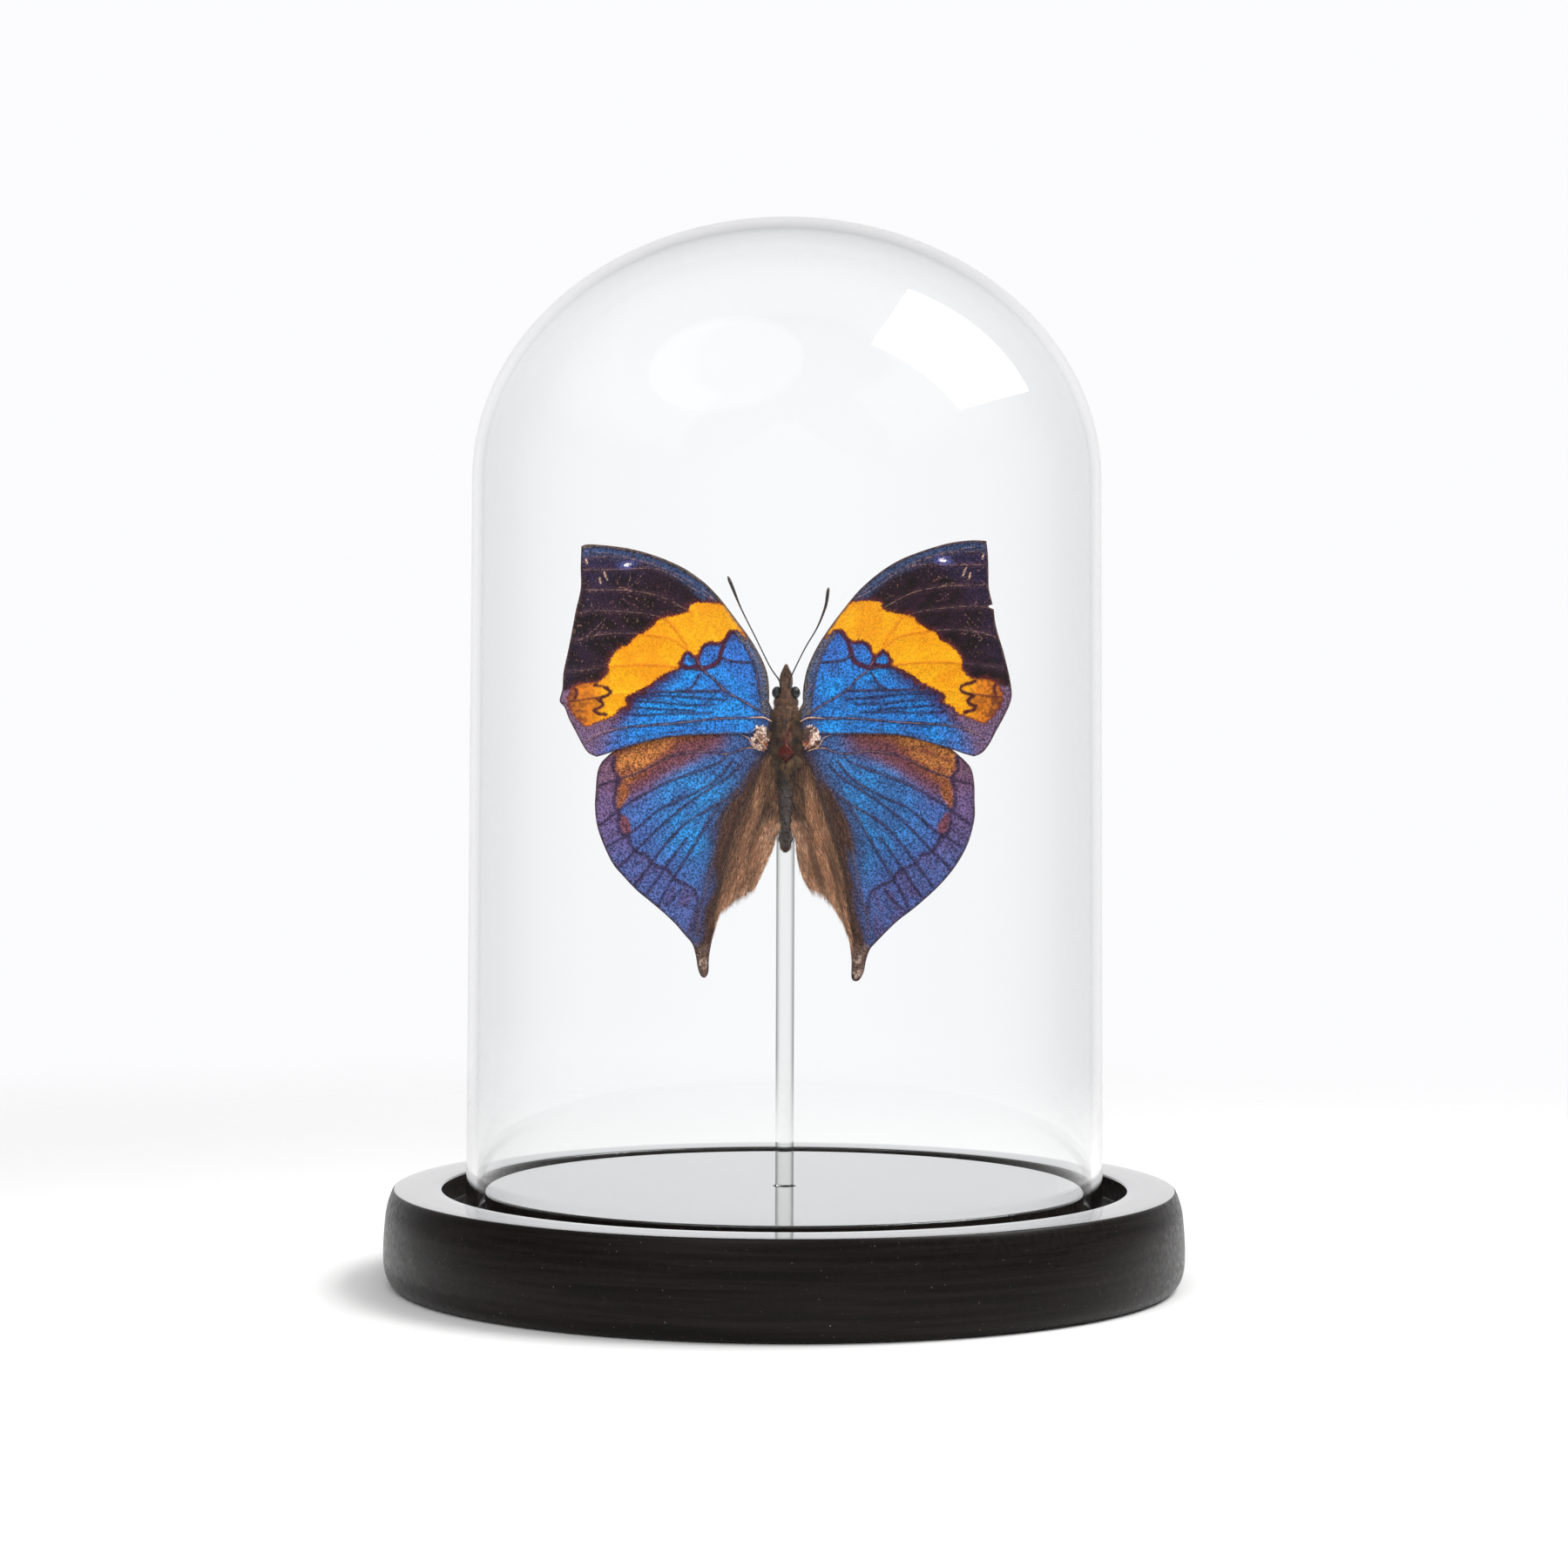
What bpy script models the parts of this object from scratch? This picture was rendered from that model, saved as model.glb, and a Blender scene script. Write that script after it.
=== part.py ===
"""Butterfly under a glass dome: a turned wooden base, a clear rod and a dry leaf butterfly.

Metres, +Z up. The origin is the centre of the base's underside. The butterfly stands upright with its
head up and its upper side facing -Y. Left and right are the insect's own, so left is at -X.
"""

import math

import bmesh
import bpy
import numpy as np

MM = 0.001
GAP = 0.3 * MM  # between pieces that touch

# Base: a turned disc with a groove that holds the dome's foot.
BASE_RADIUS = 75.0 * MM
BASE_HEIGHT = 18.0 * MM
BASE_TOP_RADIUS = 73.4 * MM
BASE_FOOT_RADIUS = 72.3 * MM
GROOVE_OUTER_RADIUS = 64.1 * MM
GROOVE_INNER_RADIUS = 56.1 * MM
GROOVE_DEPTH = 4.5 * MM
EDGE_BREAK = 0.3 * MM
BASE_SEGMENTS = 64

# Dome: a slightly tapered cylinder under a half-ellipse crown.
DOME_FOOT_RADIUS = 59.65 * MM
DOME_SHOULDER_RADIUS = 58.7 * MM
DOME_SHOULDER_HEIGHT = 150.2 * MM
DOME_TOP_HEIGHT = 199.0 * MM
DOME_WALL = 2.0 * MM
DOME_SEGMENTS = 60
CROWN_STEPS = 9

# Rod: a clear straight rod let into the middle of the base.
ROD_RADIUS = 1.72 * MM
ROD_HOLE_DEPTH = 8.0 * MM
ROD_TOP_HEIGHT = 105.0 * MM
ROD_SIDES = 20

# Butterfly: every place on it is measured from the middle of its thorax, which stands this high.
THORAX_HEIGHT = 103.0 * MM
WING_THICKNESS = 0.4 * MM
FOREWING_FRONT = -7.4 * MM
HINDWING_FRONT = -6.6 * MM
DIHEDRAL = math.radians(4.0)
OUTLINE_STEPS = 3
TUBE_STEPS = 2
BODY_SIDES = 18

# Wing outlines in mm, as (outward, up) from the middle of the thorax. Each wing is a ring of smooth
# stretches that meet at corners.
FOREWING_LEFT = (
    # Costa, from the root to the apex.
    ((3.2, 4.6), (3.1, 7.6), (3.4, 10.7), (4.4, 13.6), (6.5, 17.3), (9.2, 21.0), (12.3, 25.0),
     (15.3, 28.0), (19.3, 30.7), (24.0, 32.7), (28.7, 34.0), (33.0, 34.6), (36.6, 34.8), (37.8, 34.4)),
    # Outer margin, from the apex to the tornus.
    ((37.8, 34.4), (37.9, 30.5), (37.9, 26.6), (38.8, 22.5), (39.4, 19.2), (40.1, 15.5), (41.0, 11.2),
     (41.2, 8.2), (41.7, 5.9), (40.8, 4.7), (40.0, 2.6), (38.8, 0.3), (37.7, -1.8), (36.5, -3.6),
     (34.9, -4.4)),
    # Inner margin, from the tornus to the root.
    ((34.9, -4.4), (33.2, -3.9), (30.6, -3.0), (27.0, -2.0), (23.3, -1.1), (19.2, -0.5), (12.0, -0.2),
     (6.0, -0.1), (3.3, 0.2)),
    # Root.
    ((3.3, 0.2), (3.2, 4.6)),
)
FOREWING_RIGHT = (
    ((3.2, 4.6), (3.1, 7.4), (3.4, 9.9), (4.1, 12.6), (5.8, 16.2), (8.2, 19.9), (11.0, 23.6),
     (13.7, 26.8), (17.3, 29.9), (21.0, 32.2), (25.6, 34.0), (30.1, 35.3), (34.1, 35.8), (36.8, 35.7)),
    ((36.8, 35.7), (37.1, 33.0), (37.2, 29.9), (37.3, 27.0), (38.0, 24.0)),
    # A small torn notch.
    ((38.0, 24.0), (37.2, 23.6), (38.2, 23.1)),
    ((38.2, 23.1), (38.5, 20.6), (39.1, 18.2), (39.9, 15.7), (40.7, 12.6), (41.2, 10.4), (41.6, 7.4),
     (41.1, 5.2), (39.9, 2.7), (38.6, 0.3), (37.5, -1.8), (36.2, -3.4), (34.7, -4.1)),
    ((34.7, -4.1), (32.9, -3.6), (30.3, -2.7), (27.2, -1.8), (24.2, -1.0), (20.5, -0.3), (13.0, -0.1),
     (6.0, -0.1), (3.3, 0.2)),
    ((3.3, 0.2), (3.2, 4.6)),
)
HINDWING_LEFT = (
    # Front margin, hidden under the forewing as far as its last point but one.
    ((3.3, 1.4), (9.0, 3.0), (17.0, 3.0), (25.0, 0.6), (30.0, -2.0), (32.4, -3.8)),
    # Outer margin down to the tail.
    ((32.4, -3.8), (34.0, -5.4), (34.8, -7.4), (35.1, -10.8), (35.2, -14.2), (34.5, -18.3),
     (32.2, -23.7), (29.8, -26.7), (27.4, -29.2), (25.1, -31.1), (22.5, -33.3), (20.3, -35.4),
     (18.7, -37.3), (17.2, -39.1), (16.5, -41.5), (16.2, -43.4), (15.6, -45.0), (14.8, -45.3),
     (14.2, -44.2), (14.1, -41.5), (13.5, -38.1), (12.7, -35.1), (12.1, -33.2)),
    # Anal margin, from the tail to the abdomen's tip.
    ((12.1, -33.2), (9.5, -31.1), (7.1, -29.6), (5.7, -28.8)),
    ((5.7, -28.8), (4.2, -25.4), (3.0, -22.7), (2.0, -20.2)),
    # Inner margin along the abdomen.
    ((2.0, -20.2), (2.2, -15.0), (2.2, -10.0), (2.5, -6.0), (3.1, -3.0), (3.3, 1.4)),
)
HINDWING_RIGHT = (
    ((3.3, 1.4), (9.0, 3.0), (17.0, 3.2), (24.0, 1.2), (29.2, -1.6)),
    ((29.2, -1.6), (32.0, -3.9), (34.1, -6.1), (34.8, -8.9), (34.9, -12.3), (34.9, -15.6),
     (33.9, -19.7), (32.5, -22.7), (30.8, -25.3), (28.5, -28.0), (26.1, -30.3), (23.7, -32.4),
     (21.0, -34.5), (18.9, -36.5), (16.9, -38.6), (15.7, -40.0), (15.0, -42.0), (14.6, -44.1),
     (13.8, -45.6), (12.9, -45.9), (12.3, -45.1), (12.3, -42.0), (11.8, -38.0), (10.4, -34.6),
     (8.8, -31.9)),
    ((8.8, -31.9), (6.7, -29.7), (4.7, -28.9)),
    ((4.7, -28.9), (3.3, -26.7), (2.3, -23.6), (1.9, -20.2)),
    ((1.9, -20.2), (2.2, -15.0), (2.2, -10.0), (2.5, -6.0), (3.1, -3.0), (3.3, 1.4)),
)

# Body sections in mm: height above the middle of the thorax, half width, half depth, middle's Y.
THORAX_SECTIONS = (
    (-5.5, 0.9, 1.2, -6.5), (-4.6, 1.8, 2.1, -6.6), (-2.6, 2.4, 2.8, -6.6), (0.0, 2.6, 3.0, -6.6),
    (2.4, 2.45, 2.8, -6.6), (4.2, 1.9, 2.2, -6.6), (5.1, 1.1, 1.4, -6.6),
)
HEAD_SECTIONS = (
    (5.5, 0.8, 0.9, -6.6), (6.2, 1.5, 1.5, -6.7), (7.7, 1.9, 1.9, -6.8), (9.1, 1.5, 1.6, -6.9),
    (9.9, 0.7, 0.8, -6.9),
)
ABDOMEN_SECTIONS = (
    (-5.9, 1.0, 1.2, -6.4), (-7.0, 1.55, 1.7, -6.3), (-10.0, 1.65, 1.8, -6.2), (-14.0, 1.6, 1.7, -6.0),
    (-18.0, 1.3, 1.4, -5.7), (-20.5, 0.9, 1.0, -5.5), (-21.6, 0.4, 0.5, -5.4),
)

# Eyes in mm: middle and half sizes.
EYE_PLACE = (1.75, -6.9, 7.7)
EYE_SIZE = (0.85, 1.3, 1.3)
EYE_GAP = 0.3

# Glue dab in mm: middle and half sizes of the drop that the rod and the thorax press into.
GLUE_PLACE = (0.0, -2.5, 0.0)
GLUE_SIZE = (2.3, 2.0, 3.4)

# Thin parts in mm: points as (outward, y, up) with the radius there.
ANTENNA_LEFT = (
    ((1.3, -8.9, 9.9), 0.2), ((3.0, -9.0, 12.4), 0.17), ((5.7, -9.3, 17.8), 0.17),
    ((8.3, -9.6, 23.0), 0.18), ((9.8, -9.8, 26.6), 0.3), ((10.8, -9.9, 29.0), 0.24),
)
ANTENNA_RIGHT = (
    ((0.7, -8.9, 9.9), 0.2), ((1.7, -9.0, 12.2), 0.17), ((3.6, -9.3, 16.0), 0.17),
    ((5.7, -9.6, 19.6), 0.18), ((7.2, -9.8, 23.4), 0.26), ((7.8, -9.9, 27.0), 0.24),
)
PALP = (
    ((0.56, -7.0, 10.5), 0.38), ((0.5, -7.2, 11.6), 0.34), ((0.4, -7.4, 12.6), 0.22),
    ((0.3, -7.5, 13.3), 0.1),
)
FORELEG = (
    ((1.5, -3.8, 4.4), 0.22), ((1.7, -3.7, 6.4), 0.2), ((1.5, -4.2, 8.2), 0.14),
)
MIDLEG = (
    ((2.5, -3.4, 0.6), 0.3), ((3.0, -2.9, 3.2), 0.28), ((3.3, -2.3, 5.4), 0.24),
    ((3.2, -1.5, 5.0), 0.22), ((3.0, -1.2, 1.6), 0.2), ((2.8, -0.9, -2.4), 0.15),
    ((2.6, -0.7, -5.0), 0.12),
)
HINDLEG = (
    ((2.4, -3.5, -3.4), 0.3), ((3.4, -3.2, -1.2), 0.28), ((3.9, -2.6, 0.6), 0.24),
    ((4.0, -1.9, 0.0), 0.22), ((3.6, -1.9, -4.0), 0.2), ((2.9, -2.2, -8.6), 0.15),
    ((2.4, -2.6, -11.6), 0.12),
)

# Proboscis in mm: a flat spiral under the head.
PROBOSCIS_MIDDLE = (0.0, -3.4, 8.3)
PROBOSCIS_RADII = (0.35, 1.15)
PROBOSCIS_TURNS = 1.75
PROBOSCIS_THICKNESS = 0.12
PROBOSCIS_STEPS = 22

# Colour (linear RGB), roughness and transmission of each finish.
FINISHES = {
    "black_paint": ((0.012, 0.011, 0.011), 0.25, 0.0),
    "clear_glass": ((0.95, 0.97, 0.97), 0.02, 1.0),
    "forewing_scales": ((0.55, 0.22, 0.02), 0.6, 0.0),
    "hindwing_scales": ((0.03, 0.11, 0.40), 0.6, 0.0),
    "body_fur": ((0.10, 0.065, 0.045), 0.8, 0.0),
    "dark_horn": ((0.02, 0.012, 0.01), 0.4, 0.0),
    "eye_black": ((0.01, 0.01, 0.012), 0.15, 0.0),
}


def clear_scene():
    for thing in list(bpy.data.objects):
        bpy.data.objects.remove(thing)


def finish(name):
    """The material of that name, made at its first use."""
    if name in bpy.data.materials:
        return bpy.data.materials[name]
    colour, roughness, transmission = FINISHES[name]
    material = bpy.data.materials.new(name)
    material.use_nodes = True
    shader = material.node_tree.nodes["Principled BSDF"]
    shader.inputs["Base Color"].default_value = (*colour, 1.0)
    shader.inputs["Roughness"].default_value = roughness
    shader.inputs["Transmission Weight"].default_value = transmission
    return material


def add_object(name, data, finish_name):
    thing = bpy.data.objects.new(name, data)
    bpy.context.scene.collection.objects.link(thing)
    data.materials.append(finish(finish_name))
    return thing


def mesh_object(name, builder, finish_name):
    """An object from a bmesh, with its normals turned outward and smooth between sharp edges."""
    bmesh.ops.recalc_face_normals(builder, faces=builder.faces)
    mesh = bpy.data.meshes.new(name)
    builder.to_mesh(mesh)
    builder.free()
    mesh.shade_smooth()
    mesh.set_sharp_from_angle(angle=math.radians(40.0))
    return add_object(name, mesh, finish_name)


def turned(name, profile, segments, finish_name):
    """A solid of revolution about +Z from (radius, height) points, from the axis down the outside."""
    builder = bmesh.new()
    corners = [builder.verts.new((radius, 0.0, height)) for radius, height in profile]
    for first, second in zip(corners, corners[1:]):
        builder.edges.new((first, second))
    mesh = bpy.data.meshes.new(name)
    builder.to_mesh(mesh)
    builder.free()
    thing = add_object(name, mesh, finish_name)
    screw = thing.modifiers.new("Turn", "SCREW")
    screw.steps = segments
    screw.render_steps = segments
    screw.use_merge_vertices = True
    screw.merge_threshold = 0.00001
    screw.use_smooth_shade = True
    return thing


def smooth_path(points, steps):
    """Points on a Catmull-Rom curve through these points, `steps` to each span."""
    knots = np.array(points, float)
    padded = np.vstack([2 * knots[0] - knots[1], knots, 2 * knots[-1] - knots[-2]])
    path = []
    for index in range(1, len(padded) - 2):
        before, start, end, after = padded[index - 1 : index + 3]
        for step in range(steps):
            t = step / steps
            path.append(
                0.5
                * (
                    2 * start
                    + (end - before) * t
                    + (2 * before - 5 * start + 4 * end - after) * t**2
                    + (3 * start - before - 3 * end + after) * t**3
                )
            )
    path.append(knots[-1])
    return path


def base_profile():
    hole = ROD_RADIUS + GAP
    hole_floor = BASE_HEIGHT - ROD_HOLE_DEPTH
    broken = BASE_HEIGHT - EDGE_BREAK
    groove_floor = BASE_HEIGHT - GROOVE_DEPTH
    # The side swells to BASE_RADIUS below its middle and rounds in to the foot.
    swell = smooth_path(
        (
            (BASE_TOP_RADIUS, broken),
            (74.3 * MM, 12.2 * MM),
            (BASE_RADIUS, 6.0 * MM),
            (74.7 * MM, 2.4 * MM),
            (BASE_FOOT_RADIUS + 1.2 * MM, 0.6 * MM),
            (BASE_FOOT_RADIUS, 0.0),
        ),
        2,
    )
    inside = [
        (0.0, hole_floor),
        (hole, hole_floor),
        (hole, BASE_HEIGHT),
        (GROOVE_INNER_RADIUS - EDGE_BREAK, BASE_HEIGHT),
        (GROOVE_INNER_RADIUS, broken),
        (GROOVE_INNER_RADIUS, groove_floor),
        (GROOVE_OUTER_RADIUS, groove_floor),
        (GROOVE_OUTER_RADIUS, broken),
        (GROOVE_OUTER_RADIUS + EDGE_BREAK, BASE_HEIGHT),
        (BASE_TOP_RADIUS - EDGE_BREAK, BASE_HEIGHT),
    ]
    return inside + [tuple(point) for point in swell] + [(0.0, 0.0)]


def dome_wall(inset):
    """One face of the dome's wall, from its top down to its foot, moved inward by `inset`."""
    foot = BASE_HEIGHT - GROOVE_DEPTH + GAP
    radius = DOME_SHOULDER_RADIUS - inset
    rise = DOME_TOP_HEIGHT - inset - DOME_SHOULDER_HEIGHT
    wall = []
    for step in range(CROWN_STEPS + 1):
        angle = 0.5 * math.pi * step / CROWN_STEPS
        wall.append((radius * math.sin(angle), DOME_SHOULDER_HEIGHT + rise * math.cos(angle)))
    wall.append((DOME_FOOT_RADIUS - inset, foot))
    return wall


def dome_profile():
    outside = dome_wall(0.0)
    inside = dome_wall(DOME_WALL)
    inside.reverse()
    return outside + inside


def at_thorax(point):
    """A place in metres from (x, y, height above the thorax's middle) in mm."""
    x, y, up = point
    return (x * MM, y * MM, THORAX_HEIGHT + up * MM)


def wing(name, outline, side, front, finish_name):
    """A thin plate of this outline, leaning forward away from the body. Side is -1 left, 1 right."""
    ring = []
    for stretch in outline:
        ring += smooth_path(stretch, OUTLINE_STEPS)[:-1]
    builder = bmesh.new()
    corners = []
    for outward, up in ring:
        lean = outward * MM * math.tan(DIHEDRAL)
        corners.append(
            builder.verts.new((side * outward * MM, front - lean, THORAX_HEIGHT + up * MM))
        )
    plate = builder.faces.new(corners)
    made = bmesh.ops.extrude_face_region(builder, geom=[plate])
    back = [item for item in made["geom"] if isinstance(item, bmesh.types.BMVert)]
    bmesh.ops.translate(builder, verts=back, vec=(0.0, WING_THICKNESS, 0.0))
    return mesh_object(name, builder, finish_name)


def lofted(name, sections, grow, finish_name):
    """A closed body through elliptical sections, each grown by `grow` mm."""
    builder = bmesh.new()
    rings = []
    for up, half_width, half_depth, middle in sections:
        ring = []
        for step in range(BODY_SIDES):
            angle = 2 * math.pi * step / BODY_SIDES
            x = (half_width + grow) * math.cos(angle)
            y = middle + (half_depth + grow) * math.sin(angle)
            ring.append(builder.verts.new(at_thorax((x, y, up))))
        rings.append(ring)
    for lower, upper in zip(rings, rings[1:]):
        for step in range(BODY_SIDES):
            after = (step + 1) % BODY_SIDES
            builder.faces.new((lower[step], lower[after], upper[after], upper[step]))
    builder.faces.new(rings[0])
    builder.faces.new(rings[-1])
    return mesh_object(name, builder, finish_name)


def ellipsoid(name, place, size, finish_name):
    builder = bmesh.new()
    bmesh.ops.create_uvsphere(builder, u_segments=12, v_segments=8, radius=1.0)
    bmesh.ops.scale(builder, vec=[side * MM for side in size], verts=builder.verts)
    bmesh.ops.translate(builder, vec=at_thorax(place), verts=builder.verts)
    return mesh_object(name, builder, finish_name)


def rod_bar(name, radius, low, high, finish_name):
    builder = bmesh.new()
    bmesh.ops.create_cone(
        builder,
        cap_ends=True,
        segments=ROD_SIDES,
        radius1=radius,
        radius2=radius,
        depth=high - low,
    )
    bmesh.ops.translate(builder, vec=(0.0, 0.0, 0.5 * (low + high)), verts=builder.verts)
    return mesh_object(name, builder, finish_name)


def cut(thing, cutter):
    """Takes the cutter's shape out of the object."""
    cutter.hide_render = True
    cutter.display_type = "WIRE"
    boolean = thing.modifiers.new("Cut " + cutter.name, "BOOLEAN")
    boolean.operation = "DIFFERENCE"
    boolean.solver = "EXACT"
    boolean.object = cutter


def thin_tube(name, points, side, finish_name, steps=TUBE_STEPS):
    """A tapered tube through (point, radius) pairs, mirrored by side."""
    curve = bpy.data.curves.new(name, "CURVE")
    curve.dimensions = "3D"
    curve.bevel_depth = MM
    curve.bevel_resolution = 2
    curve.use_fill_caps = True
    rows = [(side * x, y, up, radius) for (x, y, up), radius in points]
    path = smooth_path(rows, steps)
    spline = curve.splines.new("POLY")
    spline.points.add(len(path) - 1)
    for knot, (x, y, up, radius) in zip(spline.points, path):
        knot.co = (*at_thorax((x, y, up)), 1.0)
        knot.radius = radius
    return add_object(name, curve, finish_name)


def make_proboscis():
    inner, outer = PROBOSCIS_RADII
    _, middle_y, middle_up = PROBOSCIS_MIDDLE
    points = []
    for step in range(PROBOSCIS_STEPS + 1):
        share = step / PROBOSCIS_STEPS
        angle = 2 * math.pi * PROBOSCIS_TURNS * share
        radius = outer + (inner - outer) * share
        y = middle_y - radius * math.sin(angle)
        up = middle_up + radius * math.cos(angle)
        points.append(((0.0, y, up), PROBOSCIS_THICKNESS))
    thin_tube("proboscis", points, 1, "dark_horn", steps=1)


def make_case():
    turned("base", base_profile(), BASE_SEGMENTS, "black_paint")
    turned("dome", dome_profile(), DOME_SEGMENTS, "clear_glass")
    rod_foot = BASE_HEIGHT - ROD_HOLE_DEPTH + GAP
    rod_bar("rod", ROD_RADIUS, rod_foot, ROD_TOP_HEIGHT, "clear_glass")
    glue = ellipsoid("glue_dab", GLUE_PLACE, GLUE_SIZE, "clear_glass")
    past_top = ROD_TOP_HEIGHT + 2 * GAP
    cut(glue, rod_bar("rod_space", ROD_RADIUS + GAP, rod_foot, past_top, "clear_glass"))
    cut(glue, lofted("thorax_space", THORAX_SECTIONS, GAP / MM, "clear_glass"))


def make_body():
    lofted("thorax", THORAX_SECTIONS, 0.0, "body_fur")
    lofted("abdomen", ABDOMEN_SECTIONS, 0.0, "body_fur")
    head = lofted("head", HEAD_SECTIONS, 0.0, "body_fur")
    around = [half + EYE_GAP for half in EYE_SIZE]
    for side, word in ((-1, "left"), (1, "right")):
        x, y, up = EYE_PLACE
        place = (side * x, y, up)
        ellipsoid("eye_" + word, place, EYE_SIZE, "eye_black")
        cut(head, ellipsoid("eye_space_" + word, place, around, "eye_black"))


def make_limbs():
    thin_tube("antenna_left", ANTENNA_LEFT, -1, "dark_horn")
    thin_tube("antenna_right", ANTENNA_RIGHT, 1, "dark_horn")
    limbs = (("palp", PALP), ("foreleg", FORELEG), ("midleg", MIDLEG), ("hindleg", HINDLEG))
    for name, points in limbs:
        thin_tube(name + "_left", points, -1, "body_fur")
        thin_tube(name + "_right", points, 1, "body_fur")
    make_proboscis()


def make_wings():
    wing("forewing_left", FOREWING_LEFT, -1, FOREWING_FRONT, "forewing_scales")
    wing("forewing_right", FOREWING_RIGHT, 1, FOREWING_FRONT, "forewing_scales")
    wing("hindwing_left", HINDWING_LEFT, -1, HINDWING_FRONT, "hindwing_scales")
    wing("hindwing_right", HINDWING_RIGHT, 1, HINDWING_FRONT, "hindwing_scales")


def main():
    clear_scene()
    make_case()
    make_body()
    make_limbs()
    make_wings()


main()
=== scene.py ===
"""The looks of a leaf butterfly mounted on a clear rod under a glass dome.

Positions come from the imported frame. Pattern curves are in mm in the wing's own plane, as (outward, up)
from the middle of the thorax, drawn for the left wings and carried to the right ones by a small warp.
"""

import math

import bmesh
import bpy
import numpy as np
from mathutils import Euler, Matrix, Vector
from mathutils.geometry import delaunay_2d_cdt


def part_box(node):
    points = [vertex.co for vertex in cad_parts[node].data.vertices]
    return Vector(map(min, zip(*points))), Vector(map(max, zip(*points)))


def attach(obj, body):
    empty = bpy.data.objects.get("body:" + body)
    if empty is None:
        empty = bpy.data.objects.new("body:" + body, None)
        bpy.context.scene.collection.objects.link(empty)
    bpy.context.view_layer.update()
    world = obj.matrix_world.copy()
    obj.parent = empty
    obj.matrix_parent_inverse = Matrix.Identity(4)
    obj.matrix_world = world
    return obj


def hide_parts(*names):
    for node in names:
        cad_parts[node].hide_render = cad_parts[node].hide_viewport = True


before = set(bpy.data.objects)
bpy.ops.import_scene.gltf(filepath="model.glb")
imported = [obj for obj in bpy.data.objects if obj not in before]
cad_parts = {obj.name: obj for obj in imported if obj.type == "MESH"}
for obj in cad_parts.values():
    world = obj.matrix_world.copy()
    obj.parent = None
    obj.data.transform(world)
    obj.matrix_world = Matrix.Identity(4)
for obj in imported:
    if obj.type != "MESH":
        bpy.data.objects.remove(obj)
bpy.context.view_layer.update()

MM = 0.001
BODY = "root"

# Frame: the middle of the thorax is this far above the lowest point of its node.
THORAX_REACH_DOWN = 5.5 * MM
MIDDLE_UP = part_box("thorax")[0].z + THORAX_REACH_DOWN
BASE_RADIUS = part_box("base")[1].x
BASE_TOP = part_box("base")[1].z

# Camera, in metres and degrees.
CAMERA_DISTANCE = 0.750
CAMERA_HEIGHT = 0.1119
CAMERA_PITCH = 1.41
CAMERA_ROLL = 0.2
CAMERA_LENS = 91.9
CAMERA_SHIFT = -0.0011

SHARP_ANGLE = 35.0  # turned edges sharper than this many degrees stay crisp
FLOOR_FADE = (0.11, 0.50)  # where the floor starts to fade and where it ends
WORLD_FRONT, WORLD_BEHIND, WORLD_ABOVE, WORLD_SIDE = 0.52, 0.985, 0.45, 0.34  # brightness of the surround

# Wing sheet, in mm.
GRID = 0.23
WING_THICKNESS = 0.16
PLATE_HALF = 0.2  # half of the CAD plate's thickness
WING_REACH = 42.0  # the wings' bow is spread over this distance outward
BOW = 0.75
SAG = 0.13  # how far the sheet sinks between veins
VEIN_SWELL = 0.10
VEIN_SPREAD = 0.16
CORNER_ANGLE = 32.0  # an outline turns by more than this many degrees at a corner
RUN = 6  # polyline segments measured together
REACH = 6.0  # the furthest distance that is measured to a curve


# ---------------------------------------------------------------- curves and noise

def smooth_path(points, steps):
    """Points on a Catmull-Rom curve through these points, `steps` to each span."""
    knots = np.array(points, float)
    padded = np.vstack([2 * knots[0] - knots[1], knots, 2 * knots[-1] - knots[-2]])
    share = (np.arange(steps) / steps)[:, None]
    spans = []
    for index in range(1, len(padded) - 2):
        before, start, end, after = padded[index - 1 : index + 3]
        spans.append(
            0.5
            * (
                2 * start
                + (end - before) * share
                + (2 * before - 5 * start + 4 * end - after) * share**2
                + (3 * start - before - 3 * end + after) * share**3
            )
        )
    return np.vstack(spans + [knots[-1:]])


def length_along(curve):
    """Distance along a flat curve at each of its points."""
    return np.concatenate([[0.0], np.cumsum(np.hypot(*np.diff(curve, axis=0).T))])


def spaced(curve, count):
    """This many points, evenly spaced along a flat curve."""
    length = length_along(curve)
    wanted = np.linspace(0.0, length[-1], count)
    return np.column_stack([np.interp(wanted, length, curve[:, axis]) for axis in (0, 1)])


def closed_ring(ring):
    return np.vstack([ring, ring[:1]])


def unit(vectors):
    return vectors / np.linalg.norm(vectors, axis=1)[:, None]


def distance_to(path, points):
    """Distance from each point to a polyline, or REACH where it's further."""
    nearest = np.full(len(points), REACH * REACH)
    path = np.asarray(path, float)
    for first in range(0, len(path) - 1, RUN):
        run = path[first : first + RUN + 1]
        margin = math.sqrt(float(nearest.max()))
        close = np.flatnonzero(
            (points > run.min(axis=0) - margin).all(axis=1) & (points < run.max(axis=0) + margin).all(axis=1)
        )
        if not len(close):
            continue
        near_points = points[close]
        best = nearest[close]
        for start, end in zip(run, run[1:]):
            along = end - start
            length = max(float(along @ along), 1e-12)
            gap_x = near_points[:, 0] - start[0]
            gap_y = near_points[:, 1] - start[1]
            share = np.clip((gap_x * along[0] + gap_y * along[1]) / length, 0.0, 1.0)
            best = np.minimum(best, (gap_x - share * along[0]) ** 2 + (gap_y - share * along[1]) ** 2)
        nearest[close] = best
    return np.sqrt(nearest)


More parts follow.
